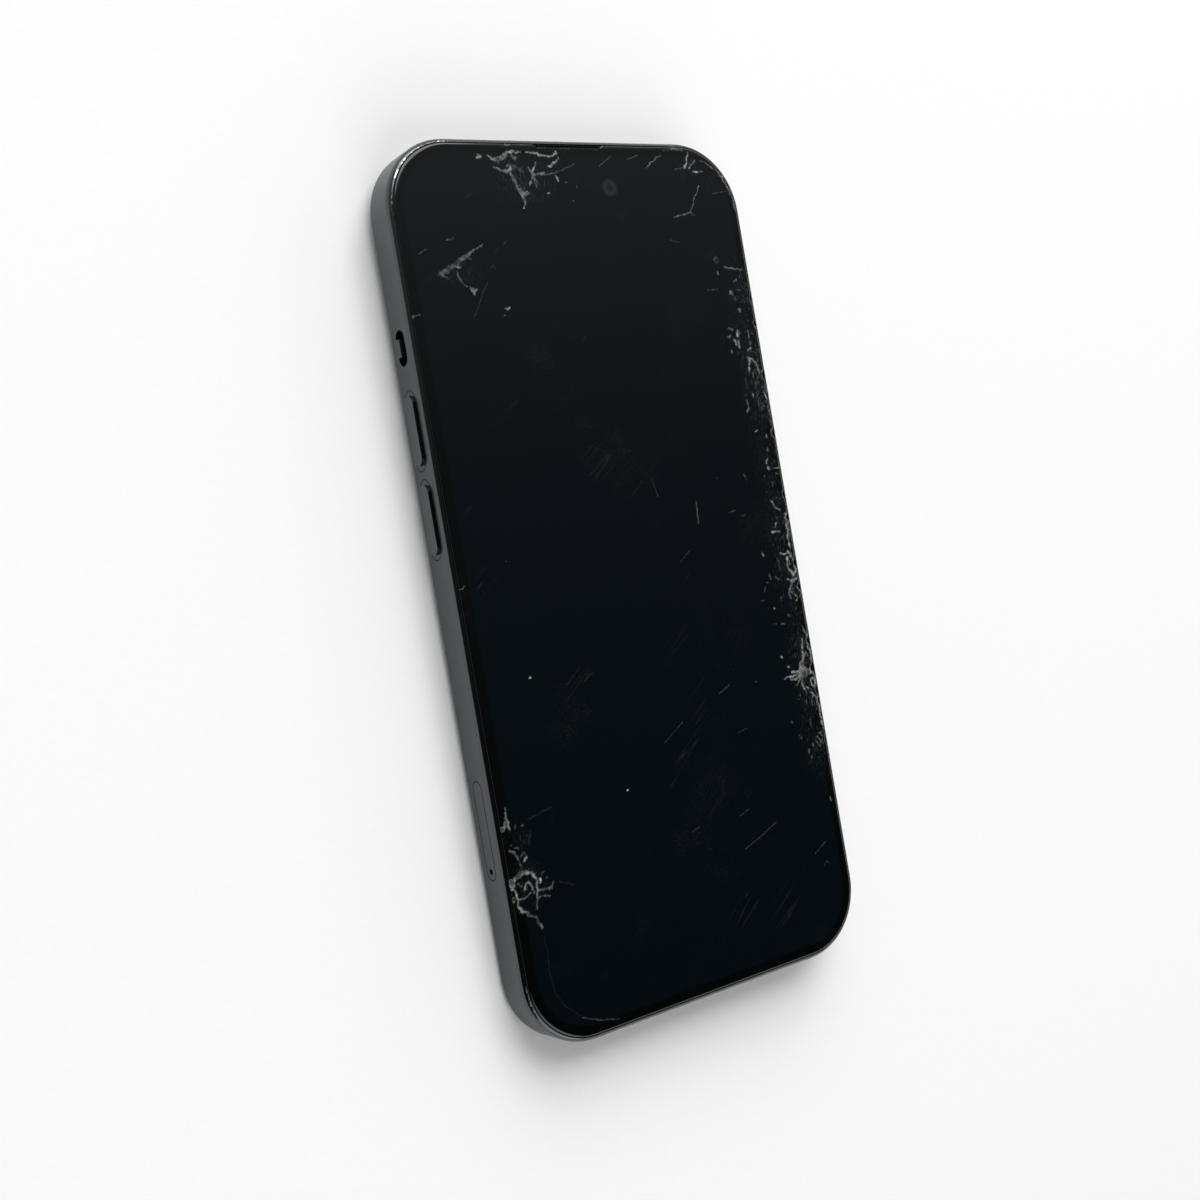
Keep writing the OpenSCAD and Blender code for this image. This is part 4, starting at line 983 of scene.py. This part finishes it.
leaves = []
for k, split in enumerate(halved):
    whole = ~split
    if k < LEVELS:
        whole &= halved[k + 1].repeat(2, 0).repeat(2, 1)
    leaves.append(np.argwhere(whole) << k)
used = np.zeros(GRID + 1, bool)
for k, cell in enumerate(leaves):
    for corner in ((0, 0), (1, 0), (1, 1), (0, 1)):
        used[tuple((cell + (np.array(corner) << k)).T)] = True
number = np.full(used.shape, -1)
number[used] = np.arange(used.sum())
print("cells by size, finest first:", [len(cell) for cell in leaves])

# %% Faces of the flat top
ring = np.array([(0, 0), (1, 0), (2, 0), (2, 1), (2, 2), (1, 2), (0, 2), (0, 1)])
corners, sizes = [], []
for k, cell in enumerate(leaves):
    round_cell = ring[::2] // 2 if k == 0 else (ring << k) // 2
    at = cell[:, None] + round_cell
    index = number[at[..., 0], at[..., 1]]
    corners.append(index[index >= 0])
    sizes.append((index >= 0).sum(1))
face_corners, face_sizes = np.concatenate(corners), np.concatenate(sizes)
surface = np.column_stack([sheet[used], top + relief[used]])
print("faces on the top:", len(face_sizes))

# %% [markdown]
# ## The rim
# The rim is a profile carried round the outline: a quarter circle from the flat top to
# the side, then straight down. It starts at the border points of the lattice, so the two
# parts share their points. At the earpiece slit the profile doesn't bulge, but drops
# straight down.

# %% Rim
last_i, last_j = GRID
walk_i, walk_j = np.arange(last_i), np.arange(last_j)
border = np.concatenate([
    np.column_stack([walk_i, 0 * walk_i]), np.column_stack([0 * walk_j + last_i, walk_j]),
    np.column_stack([last_i - walk_i, 0 * walk_i + last_j]),
    np.column_stack([0 * walk_j, last_j - walk_j])])
border = border[used[tuple(border.T)]]
first_ring = number[tuple(border.T)]
edge_points = sheet[tuple(border.T)]
outward = edge_points - np.clip(edge_points, -core, core)
outward /= np.linalg.norm(outward, axis=1, keepdims=True)
arc = np.append(np.linspace(0, np.pi / 2, 7)[1:], np.pi / 2)[:, None]
drop = RIM * (1 - np.cos(arc))
drop[-1] = glass_high[2] - glass_low[2] - HEADROOM
slit = in_slit(edge_points[:, 0]) * (edge_points[:, 1] > core[1])
out = RIM * np.sin(arc) * (1 - slit)
height = top - drop + relief[tuple(border.T)] * np.cos(arc)
rows = np.dstack([edge_points + outward * out[..., None], height])
stations, levels = len(border), len(drop)
ids = np.vstack([first_ring, used.sum() + np.arange(levels * stations).reshape(levels, -1)])
after = np.roll(ids, -1, axis=1)
walls = np.stack([ids[:-1], ids[1:], after[1:], after[:-1]], -1).reshape(-1)
underside = ids[-1][::-1]
print("stations round the rim:", stations, "of which along the slit:", (slit > 0).sum())

# %% [markdown]
# ## Bites out of the edge
# Where the edge took a blow, it lost shell-shaped bites. A bite is a ball that overlaps
# the edge: every point inside the ball is pushed out to its surface, which leaves a
# smooth hollow, as glass has. The pushed points are marked as broken too.

# %% Places of the bites
right, left, upper = HALF[0] + 0.15, -HALF[0] - 0.15, HALF[1] + 0.25
bites = [(HALF[0] + 0.2, 45.3 - 5.17 * i + 1.4 * np.sin(57 * i), 0.8 + 0.35 * np.sin(97 * i))
         for i in range(17)]
bites += [(right, y, r) for y, r in (
    (-22.9, 1.3), (-3.5, 1.1), (5, 0.9), (-29, 0.9), (27.4, 0.8))]
bites += [(left, y, r) for y, r in ((-45.5, 0.9), (-48, 0.7), (-36.9, 0.6), (45.1, 0.5))]
bites += [(x, upper, r) for x, r in ((-12.5, 0.8), (-9.4, 0.6), (22.4, 0.6))]
bites += [(32.9, 69.3, 1.0), (34.3, 66.3, 0.9), (30.6, 71.4, 0.8), (-32.6, 69.6, 0.6)]
print("bites:", len(bites), "with radii up to", max(bite[2] for bite in bites), "mm")

# %% Bites
points = np.concatenate([surface, rows.reshape(-1, 3)])
edge_white = white[tuple(border.T)] * (1 - slit)
broken = np.concatenate([white[used], (edge_white * np.cos(arc) ** 0.5).ravel()])
haze = np.concatenate([band[used], np.tile(band[tuple(border.T)], levels)])
for x, y, radius in bites:
    centre = np.array([x, y, glass_high[2] + 0.35 * radius])
    away = points - centre
    px, py, pz = points.T
    wobble = radius * (1 + 0.12 * uneven(px * 2, py * 2 + pz, 0.7, 41))
    reach = np.linalg.norm(away, axis=1)
    inside = reach < wobble
    points[inside] = centre + away[inside] * (wobble[inside] / reach[inside])[:, None]
    torn = 0.3 + 0.3 * uneven(*points[inside, :2].T, 0.3, 42)
    broken[inside] = np.maximum(broken[inside], torn)
points[:, 2] = np.clip(points[:, 2], glass_low[2], glass_high[2] - 0.002)
points[:, :2] = np.clip(points[:, :2], -HALF, HALF)
print("share of the points that is broken white:", (broken > 0.1).mean().round(3))

# %% [markdown]
# ## The finish of the broken glass
# Whole glass is black because it is inked from behind, so it is a dark body under a polished
# surface. Broken glass is white because its many faces scatter light. The layer `broken` moves
# between the two, and finer noise breaks it up again; it also carries a few painted highlights
# on the rim and painted glints on raised crumbs. `haze` adds the grey between the cracks. The
# screen area is a little bluer than the ink round it: a near black of its own with a painted
# bluish reflection on it.

# %% Screen glass
PANEL = (33.2, 71.2)           # half sizes of the picture area, in mm
PANEL_TURN = 9.6               # radius of its corners
EYE = (7.3, 65.6, 9.76)        # the front camera's place under the glass, in mm
tree, shader = new_finish("screen_glass")
where = place_parts(tree)
over = [calc(tree, "SUBTRACT", calc(tree, "ABSOLUTE", part), (half - PANEL_TURN) * MM)
        for part, half in zip((where["X"], where["Y"]), PANEL)]
over = [calc(tree, "MAXIMUM", past, 0.0) for past in over]
edge = calc(tree, "SQRT", calc(tree, "ADD", *(calc(tree, "MULTIPLY", o, o) for o in over)))
ink = span(tree, edge, (PANEL_TURN - 0.05) * MM, (PANEL_TURN + 0.05) * MM)
# The bluer tone of the picture area is a painted bluish reflection on the panel's near black
body_tone = mix(tree, ink, (0.0012, 0.0030, 0.0050), (0.0006, 0.0016, 0.0014))
feeds = {0: place(tree), 1: tuple(part * MM for part in EYE)}
eye = add(tree, "VectorMath", feeds, operation="DISTANCE").outputs["Value"]
pupil = span(tree, eye, 0.4 * MM, 0.9 * MM)
eye_tone = mix(tree, pupil, (0.008, 0.008, 0.012), (0.020, 0.018, 0.024))
body_tone = mix(tree, span(tree, eye, 1.75 * MM, 1.1 * MM), body_tone, eye_tone)
print("screen glass: picture area", 2 * PANEL[0], "by", 2 * PANEL[1], "mm")

# %% What lies on the glass and in its breaks
crack = add(tree, "Attribute", attribute_name="broken").outputs["Fac"]
cloud = add(tree, "Attribute", attribute_name="haze").outputs["Fac"]
fine = use(tree, fine_grain, size=0.14)
streaks = noise(tree, 3600, 3, drawn_out(tree, (1, 0.3, 1)))
cloud = calc(tree, "MULTIPLY", cloud, span(tree, streaks, 0.50, 0.68))
body_tone = mix(tree, calc(tree, "MULTIPLY", cloud, 0.15), body_tone, (0.28, 0.33, 0.29))
dust = use(tree, settled_dust, patch=14, cover=0.1)
body_tone = mix(tree, calc(tree, "MULTIPLY", dust, 0.02), body_tone, (0.4, 0.4, 0.38))
lines = use(tree, hairlines, spacing=3, stretch=26, turn=0.9, cover=0.35)
body_tone = mix(tree, calc(tree, "MULTIPLY", lines, 0.02), body_tone, (0.5, 0.52, 0.52))
glint = calc(tree, "MULTIPLY", crack, span(tree, fine, 0.25, 0.65, 0.6, 1.0))
glint = calc(tree, "MULTIPLY", calc(tree, "POWER", glint, 1.7), 0.95)
tone = mix(tree, glint, body_tone, (0.62, 0.66, 0.62))
smear = use(tree, finger_smears, size=22)
polish = span(tree, smear, 0.0, 1.0, 0.06, 0.085)
torn = calc(tree, "MULTIPLY", calc(tree, "MAXIMUM", crack, cloud), 0.45)
roughness = calc(tree, "ADD", polish, torn, clamp=True)
splinter = calc(tree, "MULTIPLY", crack, fine)
splinter = add(tree, "Bump", {"Height": splinter, "Distance": 0.05 * MM}).outputs[0]
feed_in(tree, shader, {"Base Color": tone, "Roughness": roughness, "Normal": splinter})

# %% The broken glass
all_corners = np.concatenate([face_corners, walls, underside])
all_sizes = np.concatenate([face_sizes, np.full(levels * stations, 4), [stations]])
glass = make_piece("broken_front_glass", points * MM, all_corners, all_sizes,
                   finishes["screen_glass"], broken=broken, haze=haze)
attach(glass, "phone")
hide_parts("cover_glass")

# %% [markdown]
# ## Finishes onto the CAD parts
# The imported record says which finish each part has, so one loop gives them all out.

# %% Give out the finishes
for row in frame["record"]["subparts"]:
    part = frame["nodes"][row["node"]]
    if not part.material_slots:
        part.data.materials.append(None)
    for holder in part.material_slots:
        holder.material = finishes[row["material_slot"]]

# %% [markdown]
# ## Table, lamps and surroundings
# A pale table in the resting plane takes the phone's shadow. Under the phone it lets light
# through from below, so that the back can be looked at in plain light, but to the camera
# it is paper all over. Two large soft lamps stand beyond the top and bottom ends, where the
# glass doesn't mirror them towards the camera, so the glass stays black. The surroundings
# are pale low down and dim overhead.

# %% The table's paper
WINDOW = 4.5                   # how far inside the phone's outline the window starts, in mm
paper = bpy.data.materials.new("table_white")
paper.use_nodes = True
tree, shader = paper.node_tree, paper.node_tree.nodes["Principled BSDF"]
tone = mix(tree, use(tree, fine_grain, size=0.8), (0.93, 0.93, 0.93), (0.96, 0.96, 0.96))
feed_in(tree, shader, {"Base Color": tone, "Roughness": 0.9, "Specular IOR Level": 0.0})
under = add(tree, "NewGeometry").outputs["Backfacing"]
middle = add(tree, "VectorMath", {0: place(tree)}, operation="LENGTH").outputs["Value"]
fade = calc(tree, "MAXIMUM", under, span(tree, middle, 0.5, 1.1))
where = place_parts(tree)
window = calc(tree, "MULTIPLY", *(
    calc(tree, "LESS_THAN", calc(tree, "ABSOLUTE", part), (half - WINDOW) * MM)
    for part, half in zip((where["X"], where["Y"]), HALF)))
unseen = calc(tree, "SUBTRACT", 1.0, add(tree, "LightPath").outputs["Is Camera Ray"])
fade = calc(tree, "MAXIMUM", fade, calc(tree, "MULTIPLY", window, unseen))
see_through = add(tree, "BsdfTransparent")
blend = add(tree, "MixShader", {0: fade, 1: shader.outputs[0], 2: see_through.outputs[0]})
feed_in(tree, tree.nodes["Material Output"], {"Surface": blend.outputs[0]})
print("nodes in the paper:", len(tree.nodes))

# %% Table
LINES = 33                     # grid lines each way, closer together under the phone
REACH = 1.2                    # half the width of the table, in metres
spread = np.linspace(-1, 1, LINES)
ground = np.stack(np.meshgrid(spread * np.abs(spread), spread * np.abs(spread)), -1)
ground = ground.reshape(-1, 2) * REACH
table_points = np.column_stack([ground, ground @ lean + level])
ids = np.arange(LINES**2).reshape(LINES, LINES)
squares = np.stack([ids[:-1, :-1], ids[:-1, 1:], ids[1:, 1:], ids[1:, :-1]], -1).reshape(-1)
table = make_piece("table", table_points, squares, np.full((LINES - 1)**2, 4), paper)

# %% Lamps
def softbox(name, at, size, brightness):
    """A square lamp that faces the phone. Its power is pi times its area times the
    brightness wanted on its face."""
    lamp = bpy.data.lights.new(name, "AREA")
    lamp.size, lamp.energy = size, np.pi * size**2 * brightness
    holder = bpy.data.objects.new(name, lamp)
    holder.location = at
    holder.rotation_euler = (-Vector(at)).to_track_quat("-Z", "Y").to_euler()
    bpy.context.scene.collection.objects.link(holder)


softbox("far_lamp", (0.2, 1.7, 1.4), 2.0, 4.15)
softbox("near_lamp", (-0.2, -1.7, 1.4), 2.0, 1.6)

# %% Surroundings
world = bpy.data.worlds.new("surroundings")
world.use_nodes = True
bpy.context.scene.world = world
tree = world.node_tree
tree.nodes.clear()
way = add(tree, "SeparateXYZ", {0: add(tree, "TexCoord").outputs["Generated"]}).outputs
pale_below = span(tree, way["X"], -0.5, -0.1, 0.11, 0.3)
dim_above = span(tree, way["X"], -0.5, -0.1, 0.2, 0.65)
high = span(tree, way["Z"], pale_below, dim_above)
glow = calc(tree, "MULTIPLY", calc(tree, "POWER", 330.0, way["Y"]), 0.053)
overhead = span(tree, glow, 0.0, 0.4, 0.0, 0.4)
shade = mix(tree, high, (0.95, 0.95, 0.95), overhead)
backdrop = add(tree, "Background", {"Color": shade, "Strength": 1.0})
add(tree, "OutputWorld", {"Surface": backdrop.outputs[0]})
bpy.context.scene.view_settings.view_transform = "Standard"
